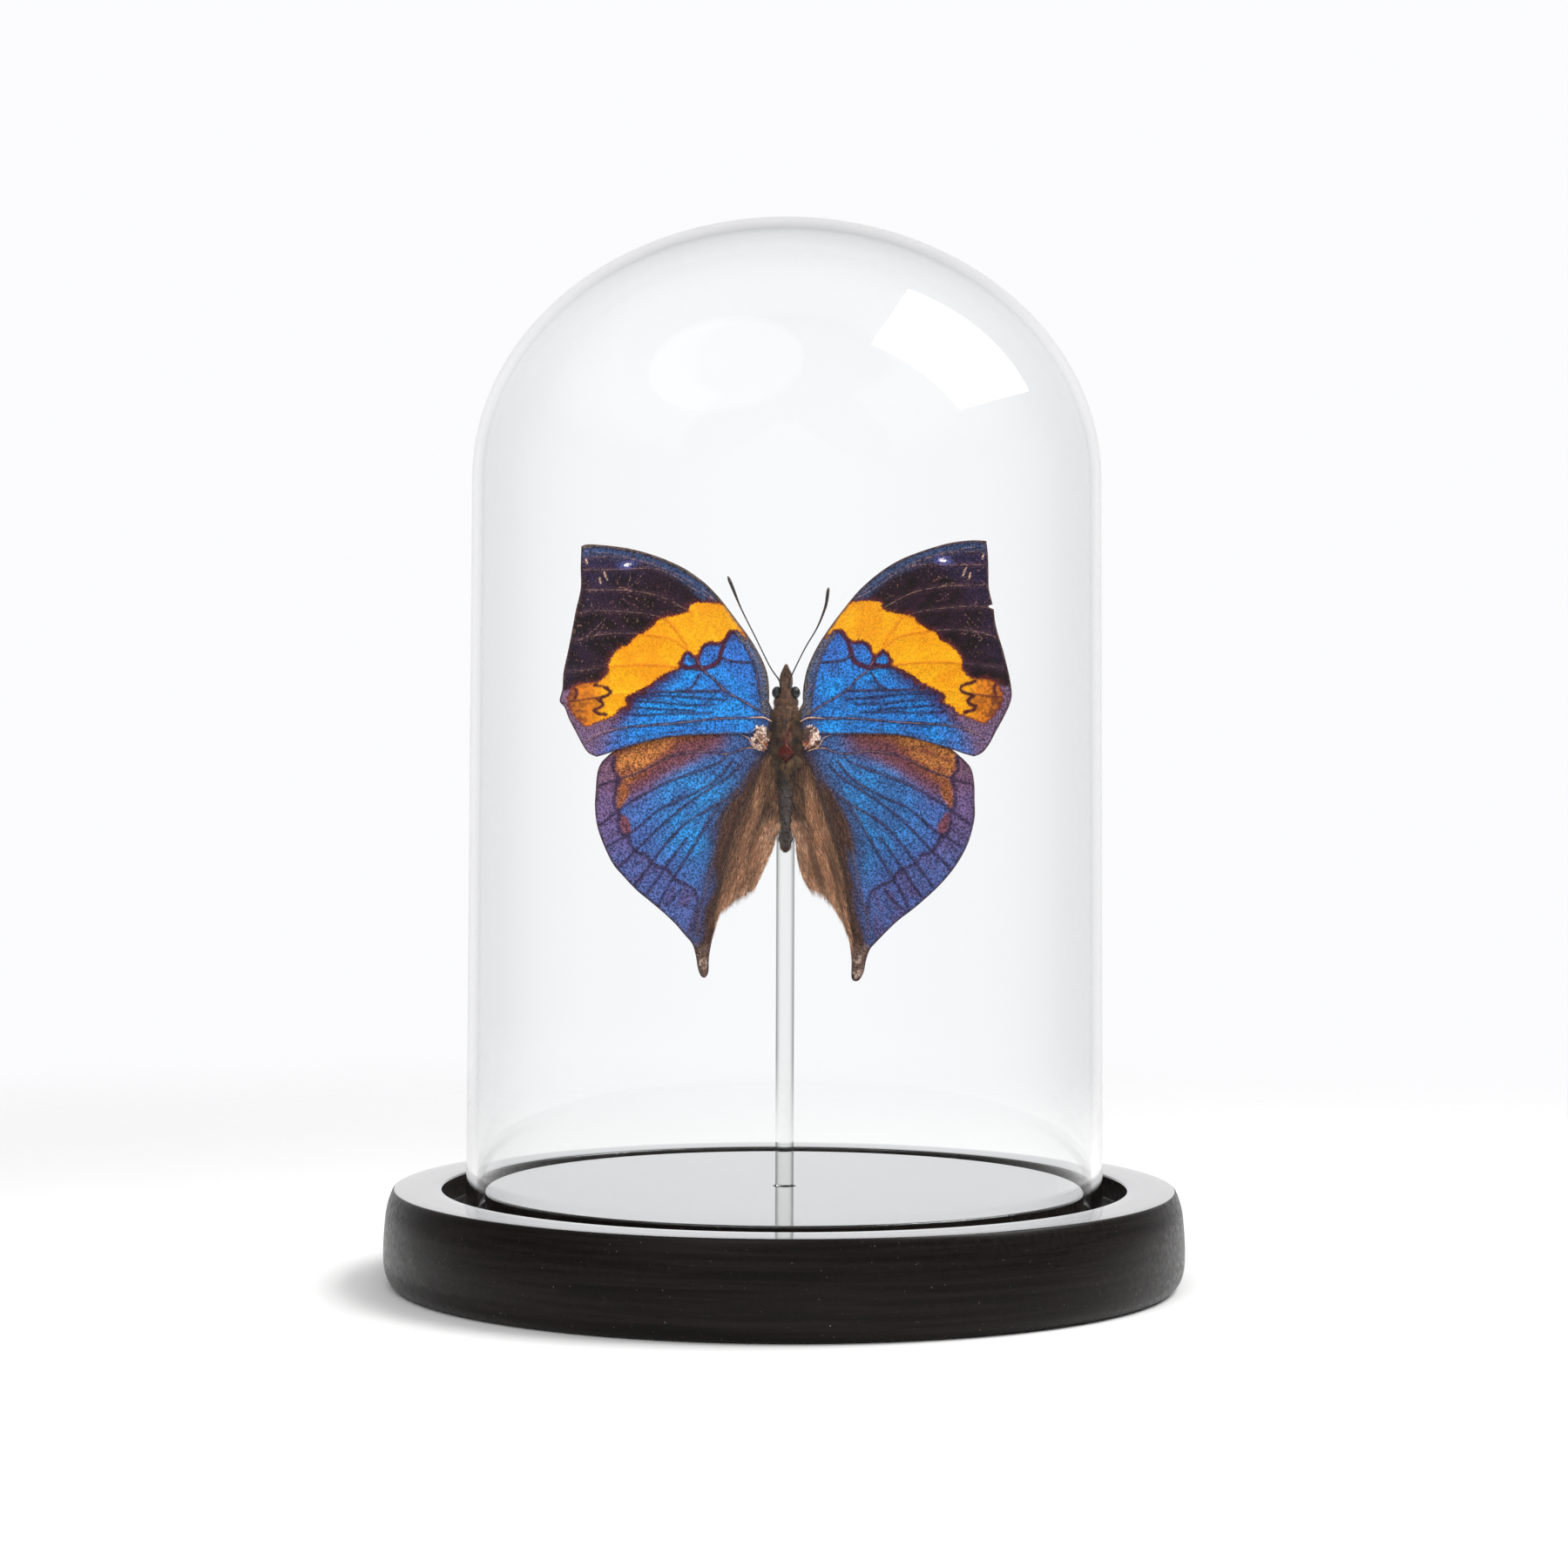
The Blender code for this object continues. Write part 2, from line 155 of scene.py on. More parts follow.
def inside(ring, points):
    """Whether each point is inside a closed polygon, by the even-odd rule."""
    found = np.zeros(len(points), bool)
    for start, end in zip(ring, np.roll(ring, -1, axis=0)):
        crosses = (start[1] > points[:, 1]) != (end[1] > points[:, 1])
        rise = end[1] - start[1]
        if rise == 0.0:
            continue
        at = start[0] + (points[:, 1] - start[1]) * (end[0] - start[0]) / rise
        found ^= crosses & (points[:, 0] < at)
    return found


def depth_in(ring, points):
    """Signed distance to a closed outline, positive inside."""
    away = distance_to(closed_ring(ring), points)
    return np.where(inside(ring, points), away, -away)


def ramp(value, low, high):
    """0 at low, 1 at high, smooth between."""
    share = np.clip((value - low) / (high - low), 0.0, 1.0)
    return share * share * (3.0 - 2.0 * share)


def value_noise(points, seed):
    """Smooth noise from 0 to 1, one cell per unit."""
    table = np.random.default_rng(seed).random((256, 256))
    cell = np.floor(points).astype(int)
    part = points - cell
    part = part * part * (3.0 - 2.0 * part)
    x0, y0 = cell[:, 0] % 256, cell[:, 1] % 256
    x1, y1 = (x0 + 1) % 256, (y0 + 1) % 256
    low = table[x0, y0] * (1 - part[:, 0]) + table[x1, y0] * part[:, 0]
    high = table[x0, y1] * (1 - part[:, 0]) + table[x1, y1] * part[:, 0]
    return low * (1 - part[:, 1]) + high * part[:, 1]


def fractal(points, size, seed, octaves=3):
    """Layered noise, mostly between 0.2 and 0.8, with features of this size."""
    total = np.zeros(len(points))
    weight = 0.0
    for octave in range(octaves):
        share = 0.5**octave
        total += share * value_noise(points * (2.0**octave / size) + 17.3 * octave, seed + octave)
        weight += share
    return total / weight


def fade(value, low, high):
    """1 at low, 0 at high, smooth between."""
    return 1.0 - ramp(value, low, high)


def all_over(points, colour):
    """One row of this colour for each point."""
    return np.tile(colour, (len(points), 1))


def lay(colours, new, mask):
    """Lays a colour, or one colour a point, over colours by this mask, in place, and hands them back."""
    mask = np.clip(mask, 0.0, 1.0)[:, None]
    colours[:] = colours * (1.0 - mask) + np.asarray(new, float) * mask
    return colours


def fit_warp(pairs):
    """The affine map that best takes the first place of each pair to the second."""
    rows = np.array([[*there, 1.0] for there, _ in pairs])
    goal = np.array([here for _, here in pairs])
    return np.linalg.lstsq(rows, goal, rcond=None)[0]


def warp(points, matrix):
    return np.hstack([points, np.ones((len(points), 1))]) @ matrix


def inverse_pairs(pairs):
    return [(second, first) for first, second in pairs]


# ---------------------------------------------------------------- wing pattern, in mm

FOREWING_VEINS = {
    "radial": ((4.0, 4.2), (5.1, 8.9), (5.8, 12.4), (7.4, 15.9), (9.6, 19.1), (12.1, 23.4), (15.0, 26.2),
               (20.0, 29.3), (26.0, 31.6), (32.0, 33.0), (37.2, 33.5)),
    "median": ((4.0, 3.7), (7.9, 6.0), (11.1, 7.8), (13.3, 10.0), (15.2, 11.6), (17.1, 14.5)),
    "r5": ((13.6, 24.8), (17.0, 26.6), (20.9, 29.2), (24.9, 30.4), (30.8, 30.2), (37.3, 30.1)),
    "r4": ((20.0, 28.6), (25.7, 31.3), (31.6, 32.5), (36.9, 32.3)),
    "m1": ((17.4, 22.3), (21.4, 24.4), (24.1, 25.5), (27.3, 26.1), (30.2, 26.4), (37.3, 26.4)),
    "m2": ((18.2, 16.1), (20.8, 19.6), (22.5, 21.2), (27.3, 22.2), (35.0, 22.6), (38.3, 22.0)),
    "m3": ((17.1, 14.5), (19.5, 16.4), (21.9, 17.6), (27.3, 18.3), (31.6, 18.4), (35.6, 17.9), (39.0, 16.9)),
    "cu1": ((15.2, 11.6), (19.5, 12.2), (26.2, 12.6), (32.9, 12.2), (40.3, 11.2)),
    "cu2": ((11.1, 7.8), (18.9, 7.7), (27.2, 7.5), (31.5, 7.2), (36.9, 6.2), (41.0, 5.7)),
    "anal": ((4.0, 2.9), (12.7, 2.7), (20.8, 1.8), (27.2, 1.3), (31.5, 0.7), (34.7, -0.3), (36.8, -1.6)),
    "cross": ((12.2, 14.3), (10.9, 13.5), (9.0, 13.2), (6.2, 13.1)),
    "fold": ((15.9, 11.0), (17.2, 8.8), (18.7, 7.9)),
}
HINDWING_VEINS = {
    "rs": ((4.6, -1.8), (6.8, -2.5), (10.9, -3.8), (15.2, -3.4), (19.2, -3.8), (22.7, -4.9), (27.0, -7.2),
           (34.2, -9.6)),
    "m1": ((10.9, -3.8), (12.5, -5.5), (17.8, -7.5), (23.2, -9.7), (28.6, -12.7), (31.6, -14.9),
           (34.3, -17.0)),
    "m2": ((10.0, -5.2), (12.5, -8.3), (17.8, -11.5), (23.2, -14.0), (27.7, -17.8), (33.0, -21.0)),
    "m3": ((8.4, -5.8), (10.8, -8.2), (17.3, -12.4), (23.2, -17.3), (27.7, -21.8), (31.0, -25.0)),
    "cu1": ((8.9, -10.5), (11.9, -12.7), (17.8, -16.2), (21.6, -19.9), (25.3, -24.8), (28.0, -28.2)),
    "cu2": ((11.9, -12.7), (15.1, -17.8), (18.9, -24.0), (22.1, -29.1), (23.5, -32.0)),
    "second_anal": ((4.9, -4.3), (8.4, -10.2), (10.8, -14.5), (12.6, -19.4), (13.6, -24.0), (14.8, -29.0),
                    (16.0, -33.6), (16.4, -37.6)),
    "third_anal": ((4.4, -5.9), (6.0, -10.2), (8.9, -17.8), (11.1, -24.5), (12.9, -31.3), (14.4, -36.6),
                   (15.2, -43.6)),
    "veinlet_high": ((18.3, -19.4), (21.6, -24.0), (25.8, -30.0)),
    "veinlet_low": ((19.4, -29.1), (22.0, -32.0)),
}
# How bare and coppery each vein is, with the painted highlight along it, from 0 to 1.
FOREWING_BARE_HIGHLIGHT = {
    "radial": 0.45, "median": 0.62, "r5": 0.6, "r4": 0.45, "m1": 0.6, "m2": 0.55, "m3": 0.5, "cu1": 0.25,
    "cu2": 0.25, "anal": 0.62, "cross": 0.2, "fold": 0.2,
}
HINDWING_BARE_HIGHLIGHT = {
    "rs": 0.6, "m1": 0.35, "m2": 0.25, "m3": 0.3, "cu1": 0.35, "cu2": 0.25, "second_anal": 0.2,
    "third_anal": 0.1, "veinlet_high": 0.0, "veinlet_low": 0.0,
}
COSTA = ((3.2, 4.6), (3.1, 7.6), (4.4, 13.6), (9.2, 21.0), (15.3, 28.0), (24.0, 32.7), (33.0, 34.6),
         (37.8, 34.4))
# The orange band: its edge towards the tip, round the dark-flecked patch at the hind corner, and back.
BAND_OUTER = ((8.0, 21.6), (10.6, 23.6), (12.0, 24.0), (13.9, 24.2), (16.0, 24.2), (17.8, 23.8),
              (18.2, 22.6), (20.3, 21.9), (23.5, 21.1), (24.6, 19.9), (26.2, 18.8), (27.8, 18.0),
              (28.9, 16.6), (30.5, 15.8), (32.1, 14.2), (32.8, 12.6), (32.9, 11.4), (33.8, 10.1),
              (35.0, 9.4), (38.0, 9.1), (39.7, 8.0))
BAND_CORNER = ((39.7, 8.0), (40.2, 6.4), (40.1, 5.0), (39.4, 3.7), (38.0, 2.0), (36.6, 1.2), (34.2, 2.2))
BAND_INNER = ((34.2, 2.2), (31.7, 3.2), (30.9, 4.3), (29.3, 5.2), (29.5, 6.5), (27.8, 7.5), (26.7, 8.1),
              (25.1, 8.9), (24.0, 9.9), (22.4, 10.9), (21.1, 11.6), (19.6, 12.2), (19.5, 13.2),
              (19.0, 14.4), (18.1, 15.1), (17.3, 14.5), (16.7, 13.9), (16.1, 14.5), (15.7, 15.9),
              (14.1, 16.9), (12.5, 16.7), (11.4, 17.5), (10.6, 18.7), (9.0, 18.9), (7.4, 17.4))
# Dark marks as (path, half width).
FOREWING_MARKS = (
    (((10.3, 18.8), (11.3, 17.2), (12.0, 15.2), (12.6, 13.3), (14.0, 12.4), (15.4, 12.0), (16.6, 12.4),
      (17.8, 12.1), (18.9, 12.3), (19.6, 13.0)), 0.42),
    (((16.5, 14.2), (16.2, 12.5)), 0.42),
    (((9.0, 18.7), (10.6, 18.5), (11.4, 17.3), (12.6, 16.5), (14.1, 16.6), (15.4, 15.8), (16.2, 14.2),
      (17.4, 14.3), (18.2, 14.8), (19.0, 14.0), (19.3, 12.9)), 0.3),
    (((35.2, 8.9), (33.4, 8.4), (32.4, 7.7), (33.0, 6.9), (34.4, 6.5)), 0.3),
    (((34.8, 6.2), (33.8, 5.4), (34.2, 4.7), (35.3, 4.3), (34.6, 3.6), (33.2, 3.3)), 0.34),
    (((38.6, 9.4), (36.2, 10.4), (33.4, 11.3)), 0.7),
    (((39.2, 8.4), (38.6, 7.6), (38.9, 6.4)), 0.3),
)
# Wrinkles in the forewing's blue, drawn as lines of painted shadow.
FOREWING_FOLDS = (
    ((28.9, 6.5), (23.0, 6.9), (15.4, 6.4), (11.0, 6.2)),
    ((28.3, 5.9), (22.4, 5.6), (18.0, 5.2), (13.0, 5.3)),
    ((27.6, 4.7), (22.4, 4.4), (17.0, 4.2)),
    ((30.7, 3.6), (26.2, 3.3), (21.0, 3.6), (14.0, 3.8)),
)
# Bright scratches in the dark tip, where scales are gone, in the same copper and painted highlight as the
# bare veins.
SCRATCHES = (
    ((37.5, 17.2), (35.0, 19.4), (33.2, 21.4)),
    ((35.9, 17.3), (34.6, 18.6), (33.5, 20.1)),
    ((28.6, 27.2), (27.4, 28.4), (26.2, 29.6)),
    ((30.4, 25.0), (28.9, 23.8), (27.6, 23.6)),
    ((38.6, 24.4), (37.0, 23.2)),
    ((31.5, 27.0), (29.8, 26.8), (28.6, 26.0)),
)
CHIPS = (((33.6, 29.6), (33.0, 28.2)), ((34.4, 28.6), (34.2, 27.6)), ((36.9, 32.0), (36.7, 31.2)))
WHITE_SPOT = (29.3, 31.1)
WHITE_SPOT_SIZE = (0.62, 0.32)

GOLD_PATCH = ((31.9, -3.6), (31.8, -6.0), (31.5, -7.4), (30.8, -8.6), (29.4, -9.3), (27.2, -8.0),
              (24.6, -5.8), (22.1, -3.4), (19.5, -1.2), (14.0, 0.2), (22.0, 1.0), (29.0, -1.0))
GOLD_SPOT = ((31.3, -9.8), (30.0, -9.3), (28.8, -10.5), (29.4, -12.4), (31.0, -14.3), (31.6, -13.0))
RED_SPOT = ((30.9, -14.8), (29.9, -15.0), (28.6, -17.0), (28.9, -19.0), (30.2, -18.6), (30.9, -16.6))
SUBMARGINAL = ((31.6, -4.6), (31.9, -6.8), (30.9, -8.6), (31.4, -10.3), (31.6, -13.4), (30.8, -14.9),
               (31.0, -16.7), (30.3, -18.6), (29.0, -19.2), (28.7, -20.5), (27.2, -22.2), (25.9, -22.4),
               (24.8, -24.0), (23.2, -24.8), (21.5, -25.6), (20.5, -27.1), (18.3, -28.1), (16.6, -29.6),
               (16.2, -33.0))
ANAL_EDGE = ((4.0, -2.6), (5.4, -5.4), (8.4, -9.7), (11.6, -14.0), (12.7, -16.6), (13.1, -19.4),
             (13.2, -24.0), (13.7, -28.0), (14.6, -31.8), (15.4, -34.8), (16.2, -38.2))
FOLD_LINE = ((3.6, -3.6), (4.8, -6.6), (6.0, -10.2), (7.6, -14.0), (8.9, -17.8), (10.0, -21.0),
             (11.1, -24.5), (11.9, -28.0), (12.5, -31.3), (13.0, -34.2), (13.4, -37.2))

MIDRIB_PATH = ((37.4, 33.6), (27.5, 14.0), (21.0, -4.0), (17.0, -24.0), (15.2, -44.0))

# Pairs of (place on the right wing, place on the left pattern) that fix each warp.
RIGHT_FOREWING_PAIRS = (
    ((3.2, 2.4), (3.2, 2.4)), ((36.8, 35.7), (37.8, 34.4)), ((41.6, 7.4), (41.7, 5.9)),
    ((34.7, -4.1), (34.9, -4.4)), ((17.3, 29.9), (17.3, 29.5)), ((20.5, -0.3), (20.5, -0.7)),
)
RIGHT_HINDWING_PAIRS = (
    ((3.3, -1.0), (3.3, -1.0)), ((34.9, -14.0), (35.2, -14.2)), ((12.9, -45.9), (14.8, -45.3)),
    ((4.7, -28.9), (5.7, -28.8)), ((28.5, -28.0), (28.0, -28.6)), ((32.0, -3.9), (32.8, -4.2)),
)

# Linear colours of the scales.
BLUE = (0.016, 0.160, 0.51)
BLUE_BRIGHT = (0.010, 0.240, 0.68)
BLUE_DEEP = (0.034, 0.112, 0.44)
HIND_BLUE = (0.030, 0.115, 0.31)
HIND_BRIGHT = (0.022, 0.215, 0.54)
VIOLET = (0.085, 0.060, 0.21)
PLUM = (0.018, 0.005, 0.014)
VIOLET_DARK = (0.024, 0.018, 0.062)
INK = (0.007, 0.002, 0.003)
MAROON = (0.070, 0.010, 0.010)
ORANGE = (0.90, 0.362, 0.001)
ORANGE_PALE = (0.96, 0.445, 0.004)
ORANGE_DEEP = (0.80, 0.23, 0.002)
OCHRE = (0.66, 0.175, 0.008)
SLATE = (0.028, 0.052, 0.125)
COSTA_RIM_HIGHLIGHT = (0.115, 0.100, 0.075)
PALE_LILAC = (1.0, 0.95, 1.0)
GOLD = (0.43, 0.155, 0.038)
RUST = (0.25, 0.072, 0.030)
HIND_PLUM = (0.150, 0.045, 0.052)
MAUVE = (0.140, 0.078, 0.175)
SMOKE = (0.045, 0.018, 0.011)
FAWN = (0.21, 0.088, 0.040)
FAWN_PALE = (0.55, 0.34, 0.22)
TAIL_BROWN = (0.115, 0.068, 0.052)
LEAF = (0.27, 0.155, 0.075)
LEAF_DARK = (0.12, 0.060, 0.030)
LEAF_PALE = (0.42, 0.28, 0.15)
TIP_VEIN = (0.055, 0.026, 0.040)
CHIP = (0.70, 0.44, 0.30)
SPOT_HALO = (0.07, 0.08, 0.26)
BLUE_DULL = (0.030, 0.055, 0.20)
ROOT_SHADE = (0.04, 0.035, 0.12)
HOLLOW_SHADE = (0.030, 0.022, 0.085)
FOLD_SHADOW = (0.016, 0.012, 0.040)
VEIN_INK_AND_SHADE = (0.026, 0.012, 0.030)
BAND_VEIN = (0.70, 0.17, 0.002)
SPECK = (0.13, 0.025, 0.006)
RIM_RUST = (0.16, 0.045, 0.018)
BAND_SHADE = (0.036, 0.014, 0.060)
MARK_SHADE = (0.050, 0.008, 0.028)
MARGIN_LILAC = (0.16, 0.090, 0.155)
BAND_WORN = (0.42, 0.17, 0.06)
EDGE_BROWN = (0.07, 0.036, 0.030)
HIND_STREAK = (0.034, 0.050, 0.18)
HIND_OUTER = (0.060, 0.105, 0.32)
HIND_ROOT = (0.045, 0.085, 0.22)
SPOT_GOLD = (0.28, 0.085, 0.024)
SPOT_RED = (0.15, 0.042, 0.050)
MARGIN_BLUE = (0.062, 0.092, 0.26)
MARGIN_ROSE = (0.17, 0.085, 0.12)
MARGIN_VIOLET = (0.085, 0.040, 0.11)
WAVY_INK = (0.026, 0.014, 0.045)
HIND_VEIN_AND_SHADE = (0.024, 0.014, 0.045)
BROWN_EDGE = (0.036, 0.030, 0.065)
CREASE_SHADE = (0.022, 0.011, 0.009)
FOLD_VEIN = (0.09, 0.040, 0.024)
TAIL_PALE = (0.34, 0.24, 0.19)
HIND_EDGE = (0.050, 0.026, 0.026)
LEAF_SPECK = (0.05, 0.028, 0.018)
MIDRIB = (0.045, 0.022, 0.014)
LEAF_VEIN = (0.16, 0.085, 0.045)
COSTA_GREY = (0.070, 0.082, 0.112)
COSTA_WORN = (0.16, 0.10, 0.07)


def curve_of(points):
    """The smooth curve through a pattern's points."""
    return smooth_path(points, 5)


def radial_streaks(points, seed, narrow=26.0):
    """Noise drawn out along lines that leave the wing's root."""
    away = points - np.array([3.0, 1.0])
    reach = np.hypot(away[:, 0], away[:, 1])
    angle = np.arctan2(away[:, 1], away[:, 0])
    return fractal(np.column_stack([reach / 4.5, angle * narrow]), 1.0, seed, 3)


def vein_distances(veins, points):
    return {name: distance_to(curve_of(path), points) for name, path in veins.items()}


def nearest_of(distances, names):
    return np.minimum.reduce([distances[name] for name in names])


def paint_tip(points, distances, seed):
    """The dark tip of the forewing: ink and plum, with a slate stripe inside the costa."""
    streaks = radial_streaks(points, seed)
    clouds = fractal(points, 5.0, seed + 3)
    colours = lay(all_over(points, INK), PLUM, ramp(streaks + 0.5 * clouds, 0.55, 1.0))
    reach = np.hypot(points[:, 0], points[:, 1])
    lay(colours, VIOLET_DARK, 0.6 * ramp(reach, 36.0, 50.0) * ramp(clouds, 0.35, 0.7))
    lay(colours, VIOLET_DARK, 0.5 * ramp(points[:, 1], 26.5, 32.0) * ramp(points[:, 0], 20.0, 32.0))
    costa = distance_to(curve_of(COSTA), points)
    slate = ramp(costa, 0.35, 0.8) * fade(costa + 1.2 * (clouds - 0.5), 1.7, 3.1)
    lay(colours, SLATE, slate * ramp(points[:, 0], 9.0, 14.0))
    near = nearest_of(distances, ("r4", "r5", "m1", "m2", "m3", "cu1", "cu2"))
    lay(colours, TIP_VEIN, 0.5 * fade(near, 0.1, 1.0) * ramp(reach, 26.0, 40.0))
    for chip in CHIPS:
        away = distance_to(np.array(chip), points)
        lay(colours, CHIP, fade(away, 0.05, 0.17))
    spot = (points - np.array(WHITE_SPOT)) / np.array(WHITE_SPOT_SIZE)
    away = np.hypot(spot[:, 0] + 0.4 * spot[:, 1], spot[:, 1])
    lay(colours, SPOT_HALO, 0.8 * fade(away, 1.2, 4.2))
    return lay(colours, PALE_LILAC, fade(away, 0.75, 1.15))


def paint_blue(points, distances, seed):
    """The blue root of the forewing, deeper towards the costa, with dark veins and painted shade beside them,
    and painted shadow in its folds and a low hollow.
    """
    clouds = fractal(points, 4.0, seed + 11)
    streaks = radial_streaks(points, seed + 13, 34.0)
    bright = ramp(clouds + 0.6 * streaks, 0.66, 0.98)
    colours = lay(all_over(points, BLUE), BLUE_BRIGHT, bright)
    lay(colours, BLUE_DEEP, 0.75 * ramp(points[:, 1] - 0.35 * points[:, 0], 4.0, 12.0))
    lay(colours, BLUE_DULL, 0.5 * ramp(fractal(points, 2.2, seed + 17), 0.52, 0.78))
    lay(colours, VIOLET, 0.6 * ramp(points[:, 0], 25.0, 35.0))
    lay(colours, ROOT_SHADE, 0.7 * fade(points[:, 0], 3.4, 7.5))
    # Painted shade in a streaky hollow low in the blue.
    low = ramp(streaks, 0.54, 0.70) * fade(points[:, 1], 7.6, 9.6) * ramp(points[:, 0], 8.0, 12.0)
    lay(colours, HOLLOW_SHADE, 0.6 * low)
    # Painted shadow along the wrinkles.
    for fold in FOREWING_FOLDS:
        away = distance_to(curve_of(fold), points) + 0.35 * (streaks - 0.5)
        lay(colours, FOLD_SHADOW, 0.85 * fade(away, 0.05, 0.42))
    # Dark veins, widened by painted shade of the grooves beside them.
    near = nearest_of(distances, ("median", "cu1", "cu2", "anal", "cross", "fold", "radial"))
    return lay(colours, VEIN_INK_AND_SHADE, 0.88 * fade(near, 0.12, 0.46))


def paint_band(points, distances, seed):
    """The orange band and the speckled ochre patch in its hind corner."""
    clouds = fractal(points, 5.0, seed + 21)
    streaks = radial_streaks(points, seed + 23, 40.0)
    colours = lay(all_over(points, ORANGE), ORANGE_PALE, 0.7 * ramp(streaks, 0.5, 0.75))
    lay(colours, ORANGE_DEEP, 0.45 * ramp(clouds, 0.5, 0.8))
    near = nearest_of(distances, ("m2", "m3", "cu1", "m1"))
    lay(colours, BAND_VEIN, 0.7 * fade(near, 0.05, 0.4))
    corner = ramp(points[:, 0] - 0.25 * np.abs(points[:, 1] - 5.5), 32.6, 35.6)
    lay(colours, OCHRE, 0.85 * corner)
    specks = fractal(points, 0.5, seed + 29, 2)
    rim = ramp(points[:, 0] + 0.2 * (6.0 - points[:, 1]), 35.5, 40.5)
    lay(colours, SPECK, (0.40 * corner + 0.60 * rim) * ramp(specks, 0.42, 0.60))
    lay(colours, RIM_RUST, 0.6 * ramp(rim, 0.25, 1.0))
    lay(colours, MAROON, 0.85 * fade(distances["cu2"], 0.1, 0.3) * corner)
    for path, half in FOREWING_MARKS:
        away = distance_to(curve_of(path), points) + 0.5 * (specks - 0.5)
        lay(colours, MAROON, fade(away, half * 0.6, half * 1.35))
    return colours


def nearest_line(distances, bare_and_highlight):
    """Distance to the nearest vein, and how bare and highlighted that vein is."""
    line = np.full(len(distances["m1"]), 99.0)
    gain = np.zeros(len(line))
    for name, away in distances.items():
        gain[away < line] = bare_and_highlight[name]
        line = np.minimum(line, away)
    return line, gain


def shade_beside_band(ground, points, band, ragged):
    """Maroon and violet shade the blue where it meets the band, with dark marks and a lilac margin."""
    hind = ramp(points[:, 0], 18.0, 21.0)
    shade = fade(-band + 1.6 * ragged, 0.35, 1.7 + 1.7 * hind)
    lay(ground, BAND_SHADE, shade * (0.35 + 0.6 * hind))
    lay(ground, MAROON, fade(-band + 1.4 * ragged, 0.20, 0.60 + 0.5 * hind) * (0.75 + 0.2 * hind))
    for path, half in FOREWING_MARKS[:3]:
        away = distance_to(curve_of(path), points) + 0.22 * ragged
        lay(ground, MARK_SHADE, fade(away, half * 0.75, half * 1.5))
    margin = ramp(points[:, 0] + 0.55 * np.minimum(points[:, 1], 2.5) + 2.0 * ragged, 30.5, 34.5)
    lay(ground, MARGIN_LILAC, 0.85 * margin)


def forewing_lines(points, distances, band):
    """Worn veins and scratches with a painted highlight: distance to the nearest, and how bare and
    highlighted it is.
    """
    line, gain = nearest_line(distances, FOREWING_BARE_HIGHLIGHT)
    for scratch in SCRATCHES:
        away = distance_to(np.array(scratch), points)
        gain = np.where(away < line, 0.8, gain)
        line = np.minimum(line, away)
    return line, gain * (1.0 - 0.75 * ramp(band, -0.3, 0.3))


def forewing_paint(points, edge, seed):
    """Upper side of a forewing, as one array for each attribute that its material reads."""
    distances = vein_distances(FOREWING_VEINS, points)
    outer = smooth_path(BAND_OUTER, 4)
    ring = np.vstack([outer, smooth_path(BAND_CORNER, 4)[1:-1], smooth_path(BAND_INNER, 4)])
    band = depth_in(ring, points)
    # The tip lies beyond the band's outer edge, as far as the hind corner.
    tip_ring = np.vstack([outer, [(46.0, 7.0), (46.0, 44.0), (-2.0, 44.0), (-2.0, 20.0)]])
    tip = ramp(depth_in(tip_ring, points), -0.25, 0.25)
    ragged = fractal(points, 1.1, seed + 31) - 0.5
    ground = paint_blue(points, distances, seed)
    shade_beside_band(ground, points, band, ragged)
    dark_tip = paint_tip(points, distances, seed)
    lay(dark_tip, MAROON, 0.8 * fade(-band + 1.4 * ragged, 0.15, 1.0))
    lay(ground, dark_tip, tip)
    costa = distance_to(curve_of(COSTA), points)
    strip = fade(costa + 0.9 * ragged, 0.9, 1.9) * fade(points[:, 1], 21.0, 24.0)
    worn = fractal(points, 0.7, seed + 33, 2)
    grey = lay(all_over(points, COSTA_GREY), COSTA_WORN, 0.7 * ramp(worn, 0.55, 0.78))
    lay(ground, grey, 0.85 * strip)
    orange = paint_band(points, distances, seed)
    lay(orange, BAND_WORN, 0.8 * fade(costa, 0.35, 1.0) * ramp(worn, 0.3, 0.6))
    for colours in (ground, orange):
        # A painted highlight along the costa's rim.
        lay(colours, COSTA_RIM_HIGHLIGHT, 0.9 * fade(costa, 0.22, 0.48))
        lay(colours, EDGE_BROWN, 0.88 * fade(edge, 0.12, 0.50))
    line, gain = forewing_lines(points, distances, band)
    # Where flecks show in the tip, partly the scales' own and partly painted sparkle.
    specks = tip * ramp(fractal(points, 6.0, seed + 35), 0.30, 0.62)
    marks = {"band": band, "line": line, "line_gain": gain, "specks": specks}
    return {"paint": ground, "band_paint": orange, **marks}


def paint_disc(points, clouds, streaks, root, seed):
    """The hindwing's blue middle, duller at its root and outward."""
    bright = ramp(clouds + 0.5 * streaks, 0.62, 0.95)
    colours = lay(all_over(points, HIND_BLUE), HIND_BRIGHT, bright)
    lay(colours, HIND_STREAK, 0.55 * ramp(radial_streaks(points, seed + 9, 60.0), 0.52, 0.72))
    reach = np.hypot(points[:, 0] - 12.0, points[:, 1] + 15.0)
    lay(colours, HIND_OUTER, 0.85 * ramp(reach + 3.0 * (clouds - 0.5), 7.0, 17.0))
    return lay(colours, HIND_ROOT, 0.75 * fade(root + 3.0 * (streaks - 0.5), 3.0, 9.0))


